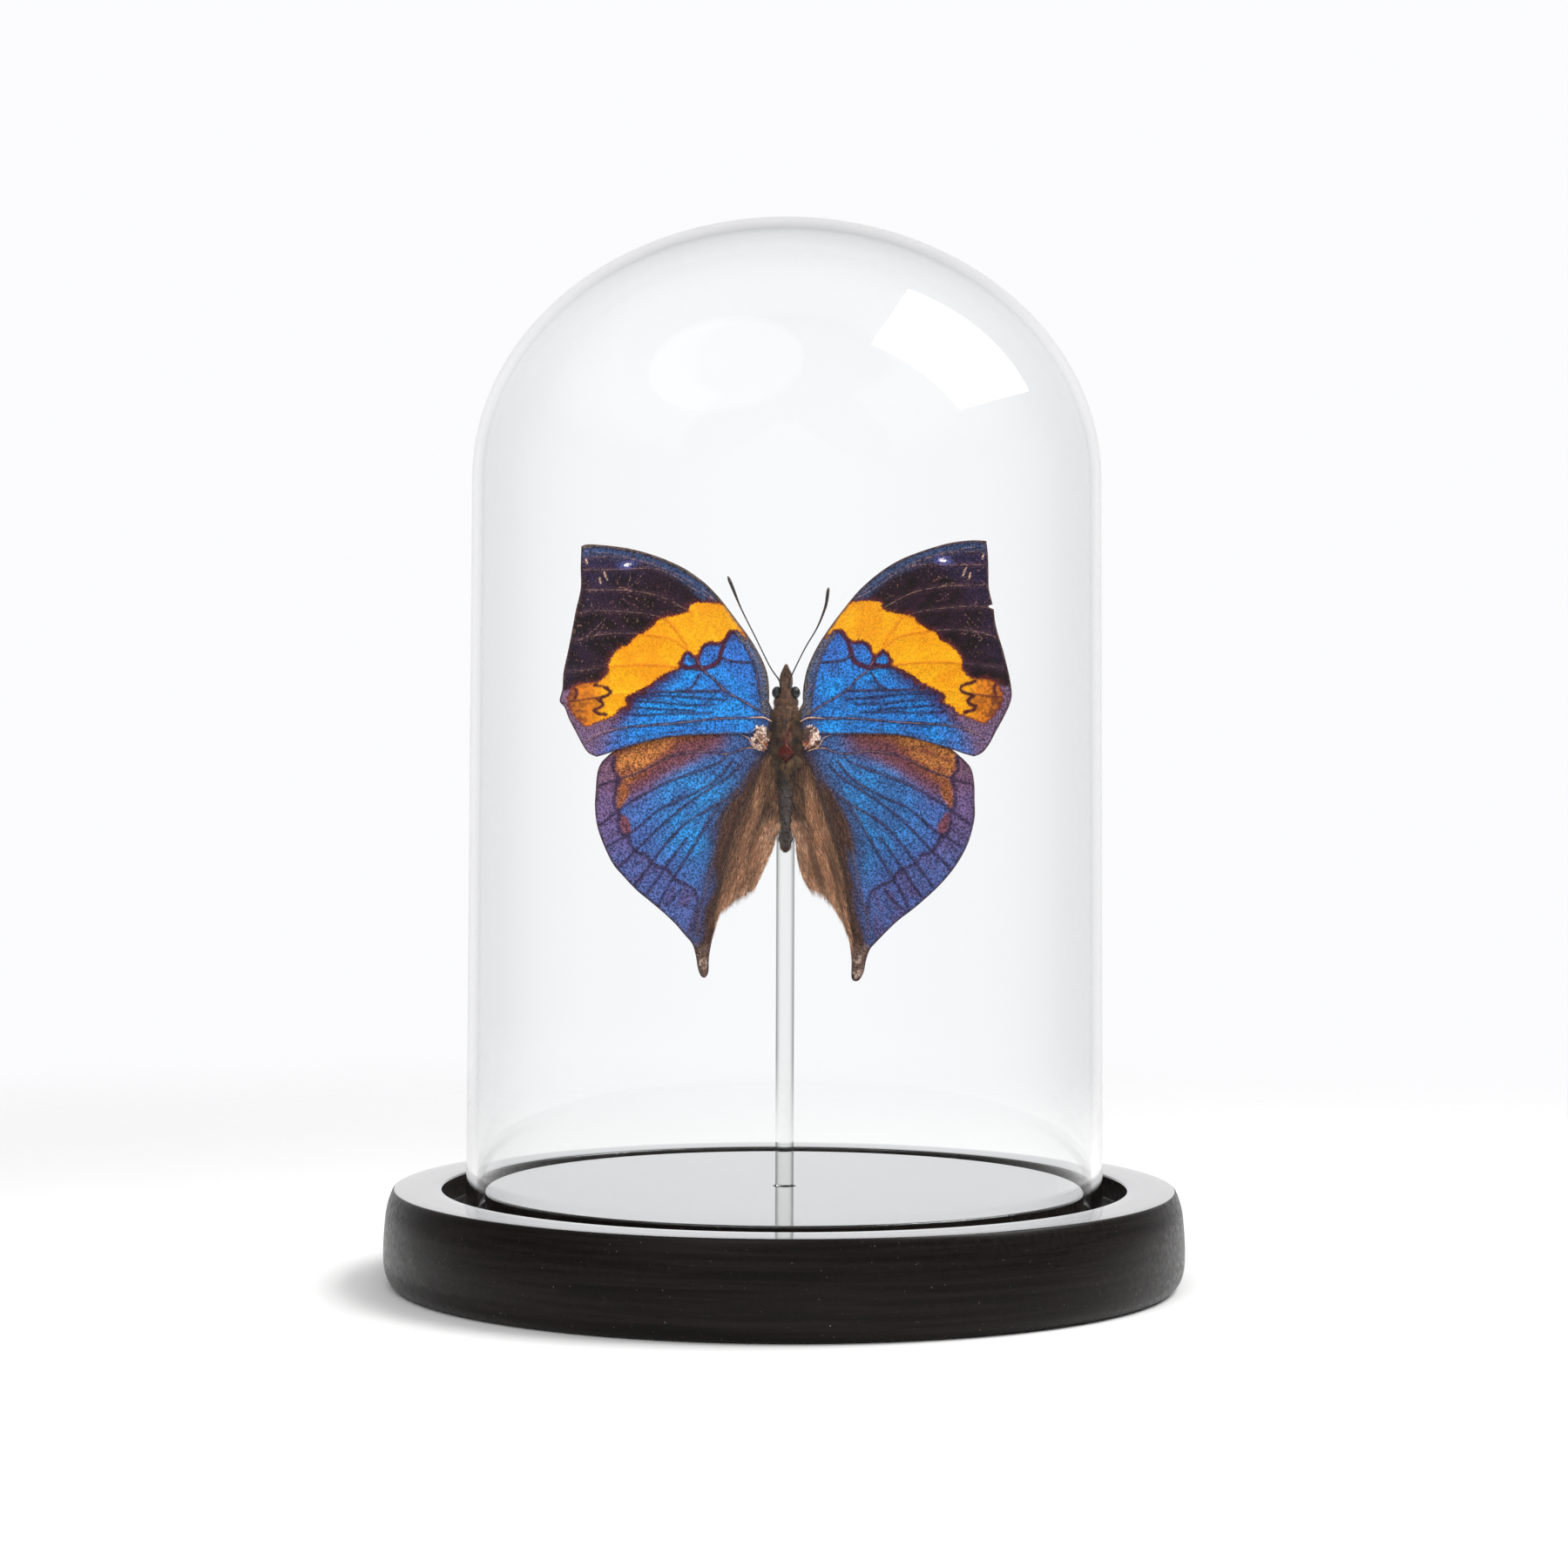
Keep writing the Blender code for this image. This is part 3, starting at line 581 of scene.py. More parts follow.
def lay_front(colours, points, clouds, fine, streaks):
    """The hindwing's front: plum, then the golden patch, and two spots below it."""
    front = points[:, 1] + 0.34 * points[:, 0] + 2.4 * (clouds - 0.5)
    lay(colours, HIND_PLUM, 0.9 * ramp(front, -1.6, 2.4) * ramp(points[:, 0], 9.0, 17.0))
    gold = depth_in(curve_of(GOLD_PATCH), points) + 0.8 * (fine - 0.5)
    lay(colours, HIND_PLUM, 0.88 * ramp(gold, -5.0, -1.2))
    lay(colours, RUST, 0.9 * ramp(gold, -1.4, 0.2))
    lay(colours, GOLD, ramp(gold, -0.1, 1.3) * ramp(streaks + fine, 0.65, 1.15))
    for ring, hue in ((GOLD_SPOT, SPOT_GOLD), (RED_SPOT, SPOT_RED)):
        depth = depth_in(curve_of(ring), points) + 0.5 * (fine - 0.5)
        lay(colours, hue, 0.95 * ramp(depth, -0.3, 0.35))


def lay_margin(colours, points, line, outside, fine, streaks):
    """The hindwing's margin: mauve outside a dark wavy line."""
    mauve = lay(all_over(points, MAUVE), MARGIN_BLUE, ramp(-points[:, 1], 14.0, 27.0))
    lay(mauve, MARGIN_ROSE, 0.7 * fade(-points[:, 1], 6.0, 13.0))
    lay(mauve, MARGIN_VIOLET, 0.65 * ramp(streaks, 0.5, 0.7))
    lay(colours, mauve, 0.88 * ramp(outside + 0.6 * (fine - 0.5), -0.9, 0.5))
    wavy = distance_to(line, points) + 0.5 * (fine - 0.5)
    lay(colours, WAVY_INK, 0.85 * fade(wavy, 0.10, 0.60))


def lay_body_side(colours, points, edge, distances, brown, fold, fine, streaks):
    """The hindwing beside the body: smoky brown, then the furred fawn fold with painted shade along its
    crease, and the tail.
    """
    lay(colours, BROWN_EDGE, 0.7 * ramp(brown, -3.0, -0.2))
    lay(colours, SMOKE, ramp(brown, -0.8, 1.3))
    fawn = lay(all_over(points, FAWN), SMOKE, 0.75 * ramp(streaks, 0.40, 0.66))
    lay(fawn, FAWN_PALE, 0.9 * ramp(-edge, -1.6, -0.3))
    lay(colours, fawn, ramp(fold + 0.8 * (streaks - 0.5), -0.4, 0.9))
    # Painted shade along the fold's crease.
    lay(colours, CREASE_SHADE, 0.8 * fade(np.abs(fold + 0.15), 0.08, 0.5))
    thin = np.minimum(distances["second_anal"], distances["third_anal"])
    lay(colours, FOLD_VEIN, 0.7 * fade(thin, 0.06, 0.22))
    tail = ramp(-points[:, 1], 38.2, 40.2)
    tail_hue = lay(all_over(points, TAIL_BROWN), TAIL_PALE, ramp(fine, 0.55, 0.72))
    lay(colours, tail_hue, tail)


def hindwing_paint(points, edge, seed):
    """Upper side of a hindwing: blue disc, violet margins, golden front patch, brown fold by the body."""
    distances = vein_distances(HINDWING_VEINS, points)
    clouds = fractal(points, 5.0, seed + 1)
    fine = fractal(points, 1.0, seed + 4)
    streaks = radial_streaks(points, seed + 7, 30.0)
    root = np.hypot(points[:, 0] - 4.0, points[:, 1] + 3.0)
    colours = paint_disc(points, clouds, streaks, root, seed)
    lay_front(colours, points, clouds, fine, streaks)
    line = smooth_path(SUBMARGINAL, 4)
    outside_ring = np.vstack([line, [(20.0, -44.0), (44.0, -44.0), (44.0, -2.0), (34.0, -2.0)]])
    outside = depth_in(outside_ring, points)
    lay_margin(colours, points, line, outside, fine, streaks)
    # Dark veins with uneven edges, widened by painted shade of the grooves beside them.
    names = ("rs", "m1", "m2", "m3", "cu1", "cu2", "veinlet_high", "veinlet_low")
    near = nearest_of(distances, names)
    lay(colours, HIND_VEIN_AND_SHADE, 0.85 * fade(near, 0.08, 0.36 + 0.25 * fine))
    brown = side_of(ANAL_EDGE, points) + 0.9 * (streaks - 0.5)
    brown = brown + 1.6 * (streaks - 0.5)
    fold = side_of(FOLD_LINE, points)
    lay_body_side(colours, points, edge, distances, brown, fold, fine, streaks)
    border = fade(edge + 0.3 * (fine - 0.5), 0.10, 0.62)
    lay(colours, HIND_EDGE, 0.85 * border * fade(fold, 0.0, 1.0))
    vein, gain = nearest_line(distances, HINDWING_BARE_HIGHLIGHT)
    gain = gain * (1.0 - 0.7 * ramp(root, 12.0, 26.0))
    gain = gain * (1.0 - 0.6 * ramp(outside, -1.0, 1.0)) * fade(brown, 0.0, 0.8)
    return {"paint": colours, "line": vein, "line_gain": gain, "specks": 0.25 * ramp(outside, -1.0, 1.0)}


def side_of(path, points):
    """Signed distance to an open path that runs down: positive on the body's side."""
    curve = curve_of(path)
    ring = np.vstack([curve, [(curve[-1][0], -60.0), (-20.0, -60.0), (-20.0, curve[0][1])]])
    away = distance_to(curve, points)
    return np.where(inside(ring, points), away, -away)


def leaf_colours(points, edge, distances, seed):
    """Underside: a dead leaf with a dark midrib from tip to tail and faint slanted side veins."""
    clouds = fractal(points, 7.0, seed + 41)
    fine = fractal(points, 0.7, seed + 43)
    colours = lay(all_over(points, LEAF), LEAF_PALE, 0.7 * ramp(clouds, 0.4, 0.75))
    lay(colours, LEAF_DARK, 0.55 * ramp(fractal(points, 3.0, seed + 47), 0.52, 0.75))
    lay(colours, LEAF_SPECK, 0.6 * ramp(fine, 0.66, 0.78))
    rib = distance_to(smooth_path(MIDRIB_PATH, 12), points)
    lay(colours, MIDRIB, 0.9 * fade(rib, 0.25, 0.75))
    slant = np.abs(((points[:, 1] * 0.8 + points[:, 0] * 0.6) / 6.5) % 1.0 - 0.5) * 6.5
    lay(colours, LEAF_DARK, 0.45 * fade(slant, 0.15, 0.6))
    near = np.minimum.reduce(list(distances.values()))
    lay(colours, LEAF_VEIN, 0.6 * fade(near, 0.06, 0.22))
    return lay(colours, LEAF_DARK, 0.8 * fade(edge, 0.1, 0.6))


# ---------------------------------------------------------------- materials

FLECK_SPARKLE = (0.30, 0.16, 0.11, 1.0)
BURNT = (0.20, 0.022, 0.006, 1.0)
BARE_COPPER_HIGHLIGHT = (0.50, 0.27, 0.18, 1.0)
PITCH = (0.0045, 0.0034, 0.0030, 1.0)
SOOT = (0.0100, 0.0076, 0.0066, 1.0)
DUST = (0.20, 0.18, 0.16, 1.0)


def new_material(name):
    material = bpy.data.materials.new(name)
    material.use_nodes = True
    tree = material.node_tree
    shader = tree.nodes["Principled BSDF"]
    return material, tree, shader


def feed(socket, source):
    """Links a socket to a source, or sets it where the source is a number or colour."""
    if isinstance(source, bpy.types.NodeSocket):
        socket.id_data.links.new(source, socket)
    else:
        socket.default_value = source


def set_inputs(node, **sources):
    """Feeds inputs by name, with _ for a space."""
    for name, source in sources.items():
        feed(node.inputs[name.replace("_", " ")], source)


def add_node(tree, kind, *sources, **settings):
    """A node with these settings, its first inputs fed from the sources that aren't None."""
    node = tree.nodes.new(kind)
    for name, value in settings.items():
        setattr(node, name, value)
    for index, source in enumerate(sources):
        if source is not None:
            feed(node.inputs[index], source)
    return node


def maths(tree, operation, first, second=None):
    return add_node(tree, "ShaderNodeMath", first, second, operation=operation).outputs[0]


def times(tree, first, second):
    return maths(tree, "MULTIPLY", first, second)


def plus(tree, first, second):
    return maths(tree, "ADD", first, second)


def jittered(tree, source, grain, size):
    """A value moved up and down by noise."""
    return plus(tree, source, times(tree, maths(tree, "SUBTRACT", grain, 0.5), size))


def attribute(tree, name, output="Color"):
    return add_node(tree, "ShaderNodeAttribute", attribute_name=name).outputs[output]


def mix_colour(tree, share, first, second):
    node = add_node(tree, "ShaderNodeMix", data_type="RGBA")
    for index, source in ((0, share), (6, first), (7, second)):
        feed(node.inputs[index], source)
    return node.outputs[2]


def map_range(tree, value, low, high, to_low=0.0, to_high=1.0):
    sources = (value, low, high, to_low, to_high)
    return add_node(tree, "ShaderNodeMapRange", *sources, interpolation_type="SMOOTHSTEP").outputs[0]


def noise(tree, scale, detail=2.0, roughness=0.5, stretch=None):
    """Noise in object space; scale is in cells a metre."""
    place = add_node(tree, "ShaderNodeTexCoord").outputs["Object"]
    if stretch:
        place = add_node(tree, "ShaderNodeVectorMath", place, stretch, operation="MULTIPLY").outputs[0]
    node = tree.nodes.new("ShaderNodeTexNoise")
    set_inputs(node, Vector=place, Scale=scale, Detail=detail, Roughness=roughness)
    return node.outputs["Fac"]


def bump(tree, shader, height, depth, strength):
    node = tree.nodes.new("ShaderNodeBump")
    set_inputs(node, Height=height, Distance=depth, Strength=strength)
    set_inputs(shader, Normal=node.outputs["Normal"])


def scale_grain(tree, colour, strength):
    """Rows of wing scales: fine light and dark grains over a colour."""
    grains = noise(tree, 5200.0, 2.0, 0.6)
    coarse = noise(tree, 2700.0, 2.0, 0.75)
    both = plus(tree, times(tree, grains, 0.35), times(tree, coarse, 0.65))
    gain = map_range(tree, both, 0.42, 0.59, 1.0 - strength, 1.0 + 1.25 * strength)
    scaled = add_node(tree, "ShaderNodeVectorMath", colour, operation="SCALE")
    set_inputs(scaled, Scale=gain)
    return scaled.outputs[0], grains


def wing_material(name, has_band):
    """Scales coloured by the painted attributes, with ragged band edges and bare coppery veins that carry a
    painted highlight.
    """
    material, tree, shader = new_material(name)
    ground, grains = scale_grain(tree, attribute(tree, "paint"), 0.66)
    # Pale flecks, partly the scales' own and partly painted sparkle.
    fleck_sparkle = map_range(tree, noise(tree, 2300.0, 2.0, 0.6), 0.635, 0.69)
    fleck_sparkle = times(tree, fleck_sparkle, times(tree, attribute(tree, "specks", "Fac"), 0.8))
    ground = mix_colour(tree, fleck_sparkle, ground, FLECK_SPARKLE)
    if has_band:
        depth = jittered(tree, attribute(tree, "band", "Fac"), noise(tree, 2600.0, 3.0, 0.65), 1.5)
        orange, _ = scale_grain(tree, attribute(tree, "band_paint"), 0.18)
        burnt = mix_colour(tree, map_range(tree, depth, 0.0, 0.34), BURNT, orange)
        ground = mix_colour(tree, map_range(tree, depth, -0.12, 0.03), ground, burnt)
    worn = noise(tree, 1300.0, 3.0, 0.7)
    away = jittered(tree, attribute(tree, "line", "Fac"), noise(tree, 4200.0, 1.0), 0.05)
    gain = attribute(tree, "line_gain", "Fac")
    # Bare coppery veins and scratches, lightened by a painted highlight along their middle.
    bare_and_highlight = times(tree, map_range(tree, away, 0.030, 0.095, 1.0, 0.0), gain)
    patchy = map_range(tree, plus(tree, worn, times(tree, gain, 0.16)), 0.50, 0.70)
    ground = mix_colour(tree, times(tree, bare_and_highlight, patchy), ground, BARE_COPPER_HIGHLIGHT)
    set_inputs(shader, Base_Color=ground, Roughness=0.42, Specular_IOR_Level=0.22)
    bump(tree, shader, grains, 0.00006, 0.8)
    return material


def underside_material():
    material, tree, shader = new_material("wing_underside")
    colour, grains = scale_grain(tree, attribute(tree, "paint"), 0.35)
    set_inputs(shader, Base_Color=colour, Roughness=0.62, Specular_IOR_Level=0.3)
    bump(tree, shader, grains, 0.00005, 0.5)
    return material


def glass_material(name, colour, ior, mirror):
    """Clear glass, seen through by plain transmission; mirror scales what it reflects head on."""
    material, tree, shader = new_material(name)
    set_inputs(shader, Base_Color=colour, Roughness=0.0, IOR=ior, Transmission_Weight=1.0)
    set_inputs(shader, Specular_Tint=(mirror, mirror, mirror, 1.0))
    # The faint waviness of drawn glass.
    bump(tree, shader, noise(tree, 30.0, 1.0, 0.4), 0.00002, 0.3)
    return material


def varied(tree, grain, rough):
    """A roughness that varies with the grain around this value."""
    return map_range(tree, grain, 0.3, 0.7, 0.75 * rough, 1.3 * rough)


def lacquer_material(name, coat, specular, rough):
    """Black lacquer on turned wood: faint lathe lines, pores and dust."""
    material, tree, shader = new_material(name)
    pores = noise(tree, 900.0, 4.0, 0.7)
    lathe = noise(tree, 700.0, 3.0, 0.6, (0.05, 0.05, 1.6))
    shade = mix_colour(tree, map_range(tree, lathe, 0.35, 0.68), PITCH, SOOT)
    dust = map_range(tree, noise(tree, 2600.0, 1.0, 0.5), 0.775, 0.80)
    set_inputs(shader, Base_Color=mix_colour(tree, dust, shade, DUST), Roughness=varied(tree, pores, rough))
    set_inputs(shader, IOR=1.6, Specular_IOR_Level=specular)
    set_inputs(shader, Coat_Weight=coat, Coat_Roughness=0.05, Coat_IOR=1.6)
    relief = plus(tree, times(tree, pores, 0.4), lathe)
    bump(tree, shader, relief, 0.00005, 0.12)
    return material


def fur_material():
    material, tree, shader = new_material("fur")
    set_inputs(shader, Base_Color=attribute(tree, "paint"), Roughness=0.5)
    set_inputs(shader, Specular_IOR_Level=0.35, Sheen_Weight=0.15)
    return material


def painted_scales(name, roughness, metallic):
    """Glittering loose scales in painted colours, with painted glints among them."""
    material, tree, shader = new_material(name)
    colour, grains = scale_grain(tree, attribute(tree, "paint"), 0.5)
    set_inputs(shader, Base_Color=colour, Roughness=roughness, Metallic=metallic)
    bump(tree, shader, grains, 0.00008, 1.0)
    return material


def skin_material(name, dark, light, roughness, grain=2600.0, coat=0.0, specular=0.5):
    """Insect cuticle: mottled, finely pitted, more or less glossy."""
    material, tree, shader = new_material(name)
    mottle = map_range(tree, noise(tree, grain * 0.35, 4.0, 0.6), 0.35, 0.65)
    pits = noise(tree, grain, 2.0, 0.6)
    set_inputs(shader, Base_Color=mix_colour(tree, mottle, (*dark, 1.0), (*light, 1.0)))
    set_inputs(shader, Roughness=varied(tree, pits, roughness), Specular_IOR_Level=specular)
    set_inputs(shader, Coat_Weight=coat, Coat_Roughness=0.08)
    bump(tree, shader, pits, 0.00008, 0.6)
    return material


# ---------------------------------------------------------------- meshes

def mesh_piece(name, vertices, faces, slot_name, materials, replaced=()):
    """A mesh object that rides with the body and takes the materials given; slot_name is not used."""
    mesh = bpy.data.meshes.new(name)
    mesh.from_pydata([tuple(point) for point in vertices], [], faces)
    mesh.update()
    return piece_of(name, mesh, materials, replaced)


def piece_of(name, mesh, materials, replaced):
    for material in materials:
        mesh.materials.append(material)
    mesh.shade_smooth()
    thing = bpy.data.objects.new(name, mesh)
    bpy.context.scene.collection.objects.link(thing)
    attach(thing, BODY)
    if replaced:
        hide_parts(*replaced)
    return thing


def float_colours(mesh, name, colours):
    layer_of = mesh.color_attributes.new(name, "FLOAT_COLOR", "POINT")
    rows = np.hstack([colours, np.ones((len(colours), 1))]).astype(np.float32)
    layer_of.data.foreach_set("color", rows.ravel())


def float_values(mesh, name, values):
    layer_of = mesh.attributes.new(name, "FLOAT", "POINT")
    layer_of.data.foreach_set("value", np.asarray(values, np.float32))


def wing_outline(node, side):
    """The CAD wing's outline as (outward, up) in mm, and its front plane's slope and middle y in metres."""
    builder = bmesh.new()
    builder.from_mesh(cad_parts[node].data)
    bmesh.ops.remove_doubles(builder, verts=builder.verts, dist=1e-6)
    front = [face for face in builder.faces if face.normal.y < -0.7]
    front_set = set(front)
    around = [edge for face in front for edge in face.edges]
    rim = [edge for edge in around if sum(face in front_set for face in edge.link_faces) == 1]
    after = {}
    for edge in rim:
        for vertex in edge.verts:
            after.setdefault(vertex, []).append(edge.other_vert(vertex))
    start = rim[0].verts[0]
    loop, previous, here = [start], None, start
    while True:
        options = [vertex for vertex in after[here] if vertex is not previous]
        previous, here = here, options[0]
        if here is start:
            break
        loop.append(here)
    places = np.array([vertex.co[:] for vertex in loop])
    builder.free()
    slope, middle = np.polyfit(np.abs(places[:, 0]), places[:, 1], 1)
    flat = np.column_stack([side * places[:, 0], places[:, 2] - MIDDLE_UP]) / MM
    return flat, slope, middle


def refine_outline(ring, spacing):
    """The outline again at this spacing, curved except at its corners."""
    before = ring - np.roll(ring, 1, axis=0)
    after = np.roll(ring, -1, axis=0) - ring
    cross = before[:, 0] * after[:, 1] - before[:, 1] * after[:, 0]
    turn = np.degrees(np.abs(np.arctan2(cross, np.einsum("ij,ij->i", before, after))))
    corners = np.flatnonzero(turn > CORNER_ANGLE)
    points = []
    for first, last in zip(corners, np.roll(corners, -1)):
        count = (last - first) % len(ring) or len(ring)
        stretch = ring[(first + np.arange(count + 1)) % len(ring)]
        curve = smooth_path(stretch, 6)
        steps = max(1, int(round(length_along(curve)[-1] / spacing)))
        points.append(spaced(curve, steps + 1)[:-1])
    return np.vstack(points)


def triangulate(ring, veins, spacing):
    """Triangles over the outline, with vertices along every vein: (points, triangles)."""
    guides = []
    for path in veins:
        curve = smooth_path(path, 12)
        curve = spaced(curve, int(length_along(curve)[-1] / spacing) + 2)
        guides.append(curve[depth_in(ring, curve) > 0.8 * spacing])
    low, high = ring.min(axis=0), ring.max(axis=0)
    rows = np.arange(low[1], high[1], spacing * 0.866)
    columns = np.arange(low[0], high[0], spacing)
    grid = np.array([(x + 0.5 * spacing * (row % 2), y) for row, y in enumerate(rows) for x in columns])
    grid += np.random.default_rng(4).uniform(-0.04, 0.04, grid.shape) * spacing
    grid = grid[inside(ring, grid)]
    keep = distance_to(closed_ring(ring), grid) > 0.62 * spacing
    for curve in guides:
        if len(curve) > 1:
            keep &= distance_to(curve, grid) > 0.5 * spacing
    grid = grid[keep]
    points = [ring]
    edges = []
    count = len(ring)
    for curve in guides:
        edges += [(count + step, count + step + 1) for step in range(len(curve) - 1)]
        points.append(curve)
        count += len(curve)
    points.append(grid)
    flat = [Vector(point) for point in np.vstack(points)]
    made = delaunay_2d_cdt(flat, edges, [list(range(len(ring)))], 1, 1e-5)
    return np.array([point[:] for point in made[0]]), np.array([face for face in made[2]])


def rim_edges(triangles):
    """Directed edges that belong to one triangle only."""
    ends = np.concatenate([triangles[:, [0, 1]], triangles[:, [1, 2]], triangles[:, [2, 0]]])
    whole = {tuple(pair) for pair in ends.tolist()}
    return [pair for pair in ends.tolist() if (pair[1], pair[0]) not in whole]


def camber(points, seed):
    """How far the sheet bows towards its upper side, in mm, the same for both wings of a side."""
    bow = BOW * np.sin(np.pi * np.clip(points[:, 0] / WING_REACH, 0.0, 1.0))
    return bow + 0.35 * (fractal(points, 13.0, seed, 2) - 0.5)


# What the underside holds in the attributes that only the upper side's material uses.
UNDER_VALUES = {"band": -9.0, "line": 9.0, "line_gain": 0.0, "specks": 0.0}


def wing_surfaces(points, edge, near, side, front, slope):
    """The sheet's upper and lower points in metres: bowed, sunk between veins, swollen along them."""
    sag = SAG * (1.0 - np.exp(-((near / 1.5) ** 2))) * ramp(edge, 0.0, 2.0)
    swell = VEIN_SWELL * np.exp(-((near / VEIN_SPREAD) ** 2)) * ramp(edge, 0.0, 0.6)
    # The root runs in under the body.
    pull = fade(points[:, 0], 1.8, 5.0) * ramp(points[:, 1], -20.0, -17.0) * fade(points[:, 1], 4.2, 6.0)
    placed = points[:, 0] - 1.25 * pull
    bow = camber(points, 90 + (side > 0))
    half = 0.5 * WING_THICKNESS * (0.45 + 0.55 * ramp(edge, 0.0, 0.35))
    plane = front + slope * points[:, 0] * MM + PLATE_HALF * MM
    x = side * placed * MM
    z = MIDDLE_UP + points[:, 1] * MM
    above = np.column_stack([x, plane - (bow - sag + half + swell) * MM, z])
    below = np.column_stack([x, plane - (bow - sag - half - 0.7 * swell) * MM, z])
    return above, below


def make_wing(node, side, veins, pairs, painter, seed):
    """The visual wing in place of a CAD wing, painted above and below."""
    outline, slope, front = wing_outline(node, side)
    ring = refine_outline(outline, GRID)
    if np.sum(ring[:, 0] * np.roll(ring[:, 1], -1) - np.roll(ring[:, 0], -1) * ring[:, 1]) < 0:
        ring = ring[::-1]
    own_veins = list(veins.values())
    if pairs:
        from_left = fit_warp(inverse_pairs(pairs))
        own_veins = [warp(np.array(path, float), from_left) for path in own_veins]
    points, triangles = triangulate(ring, own_veins, GRID)
    edge = distance_to(closed_ring(ring), points)
    pattern = warp(points, fit_warp(pairs)) if pairs else points
    distances = vein_distances(veins, pattern)
    near = np.minimum.reduce(list(distances.values()))
    above, below = wing_surfaces(points, edge, near, side, front, slope)
    count = len(points)
    # Points run anticlockwise in (outward, up), so they face the front on the right side.
    faces = triangles if side > 0 else triangles[:, ::-1]
    rims = [(b, a, a + count, b + count) for a, b in rim_edges(faces)]
    every = [*map(tuple, faces.tolist()), *map(tuple, (faces[:, ::-1] + count).tolist()), *rims]
    mesh = bpy.data.meshes.new(node + "_sheet")
    mesh.from_pydata(np.vstack([above, below]).tolist(), [], every)
    paint = painter(pattern, edge, seed)
    under = leaf_colours(pattern, edge, distances, seed)
    for name, values in paint.items():
        if values.ndim == 2:
            float_colours(mesh, name, np.vstack([values, under]))
        else:
            float_values(mesh, name, np.concatenate([values, np.full(count, UNDER_VALUES[name])]))
    slots = np.zeros(len(every), np.int32)
    slots[len(faces) :] = 1
    mesh.polygons.foreach_set("material_index", slots)
    bake_map(mesh, np.vstack([points, points]), count)
    kind = node.split("_")[0]
    piece_of(node + "_sheet", mesh, [SCALES[kind], SCALES["under"]], (node,))
    return points, (above - np.array([0.0, 0.0, MIDDLE_UP])) / MM


def bake_map(mesh, flat, count):
    """A plain map for baking: the upper side in the left half, the underside in the right."""
    low, high = flat.min(axis=0), flat.max(axis=0)
    square = (flat - low) / (high - low) * 0.96 + 0.02
    square[:, 0] *= 0.5
    square[count:, 0] += 0.5
    loops = np.empty(len(mesh.loops), np.int32)
    mesh.loops.foreach_get("vertex_index", loops)
    mesh.uv_layers.new(name="OFBake").data.foreach_set("uv", square[loops].astype(np.float32).ravel())


# ---------------------------------------------------------------- stage

def make_camera():
    data = bpy.data.cameras.new("camera")
    data.lens = CAMERA_LENS
    data.sensor_width = 36.0
    data.shift_x = CAMERA_SHIFT
    camera = bpy.data.objects.new("camera", data)
    bpy.context.scene.collection.objects.link(camera)
    camera.location = (0.0, -CAMERA_DISTANCE, CAMERA_HEIGHT)
    aim = Euler((math.radians(90.0 - CAMERA_PITCH), 0.0, 0.0)).to_matrix()
    roll = Euler((0.0, 0.0, math.radians(CAMERA_ROLL))).to_matrix()
    camera.rotation_euler = (aim @ roll).to_euler()
    bpy.context.scene.camera = camera


def make_light(name, direction, distance, size, radiance, shape="SQUARE", reflected=True):
    """A soft light that aims at the specimen; radiance is what a mirror would show."""
    data = bpy.data.lights.new(name, "AREA")
    data.shape = shape
    data.size = size
    area = size * size * (math.pi / 4 if shape == "DISK" else 1.0)
    data.energy = radiance * math.pi * area
    light = bpy.data.objects.new(name, data)
    bpy.context.scene.collection.objects.link(light)
    towards = Vector(direction).normalized()
    light.location = Vector((0.0, 0.0, MIDDLE_UP)) + towards * distance
    light.rotation_euler = towards.to_track_quat("Z", "Y").to_euler()
    light.visible_glossy = reflected
    light.visible_transmission = reflected


def make_world():
    """A pale surround, brightest behind the object and dimmer in front, at the sides and overhead."""
    world = bpy.data.worlds.new("surround")
    bpy.context.scene.world = world
    world.use_nodes = True
    tree = world.node_tree
    background = tree.nodes["Background"]
    place = add_node(tree, "ShaderNodeTexCoord").outputs["Generated"]
    parts = add_node(tree, "ShaderNodeSeparateXYZ", place).outputs
    around = map_range(tree, parts[1], -0.2, 0.8, WORLD_FRONT, WORLD_BEHIND)
    high = map_range(tree, parts[2], 0.20, 0.75)
    low_share = times(tree, maths(tree, "SUBTRACT", 1.0, high), around)
    total = plus(tree, times(tree, high, WORLD_ABOVE), low_share)
    sideways = map_range(tree, maths(tree, "ABSOLUTE", parts[0]), 0.3, 0.9, 1.0, WORLD_SIDE)
    set_inputs(background, Strength=times(tree, total, sideways), Color=(0.985, 0.985, 1.0, 1.0))


def make_floor():
    """A pale floor that fades into the surround away from the object."""
    builder = bmesh.new()
    bmesh.ops.create_circle(builder, cap_ends=True, segments=96, radius=FLOOR_FADE[1])
    data = bpy.data.meshes.new("floor")
    builder.to_mesh(data)
    builder.free()
    floor = bpy.data.objects.new("floor", data)
    bpy.context.scene.collection.objects.link(floor)
    material, tree, shader = new_material("floor")
    place = add_node(tree, "ShaderNodeTexCoord").outputs["Object"]
    away = add_node(tree, "ShaderNodeVectorMath", place, operation="LENGTH").outputs["Value"]
    gone = map_range(tree, away, FLOOR_FADE[0], 0.98 * FLOOR_FADE[1])
    set_inputs(shader, Base_Color=(0.80, 0.795, 0.79, 1.0), Roughness=0.8, Specular_IOR_Level=0.1)
    clear = tree.nodes.new("ShaderNodeBsdfTransparent")
    both = add_node(tree, "ShaderNodeMixShader", gone, shader.outputs[0], clear.outputs[0])
    set_inputs(tree.nodes["Material Output"], Surface=both.outputs[0])
    data.materials.append(material)


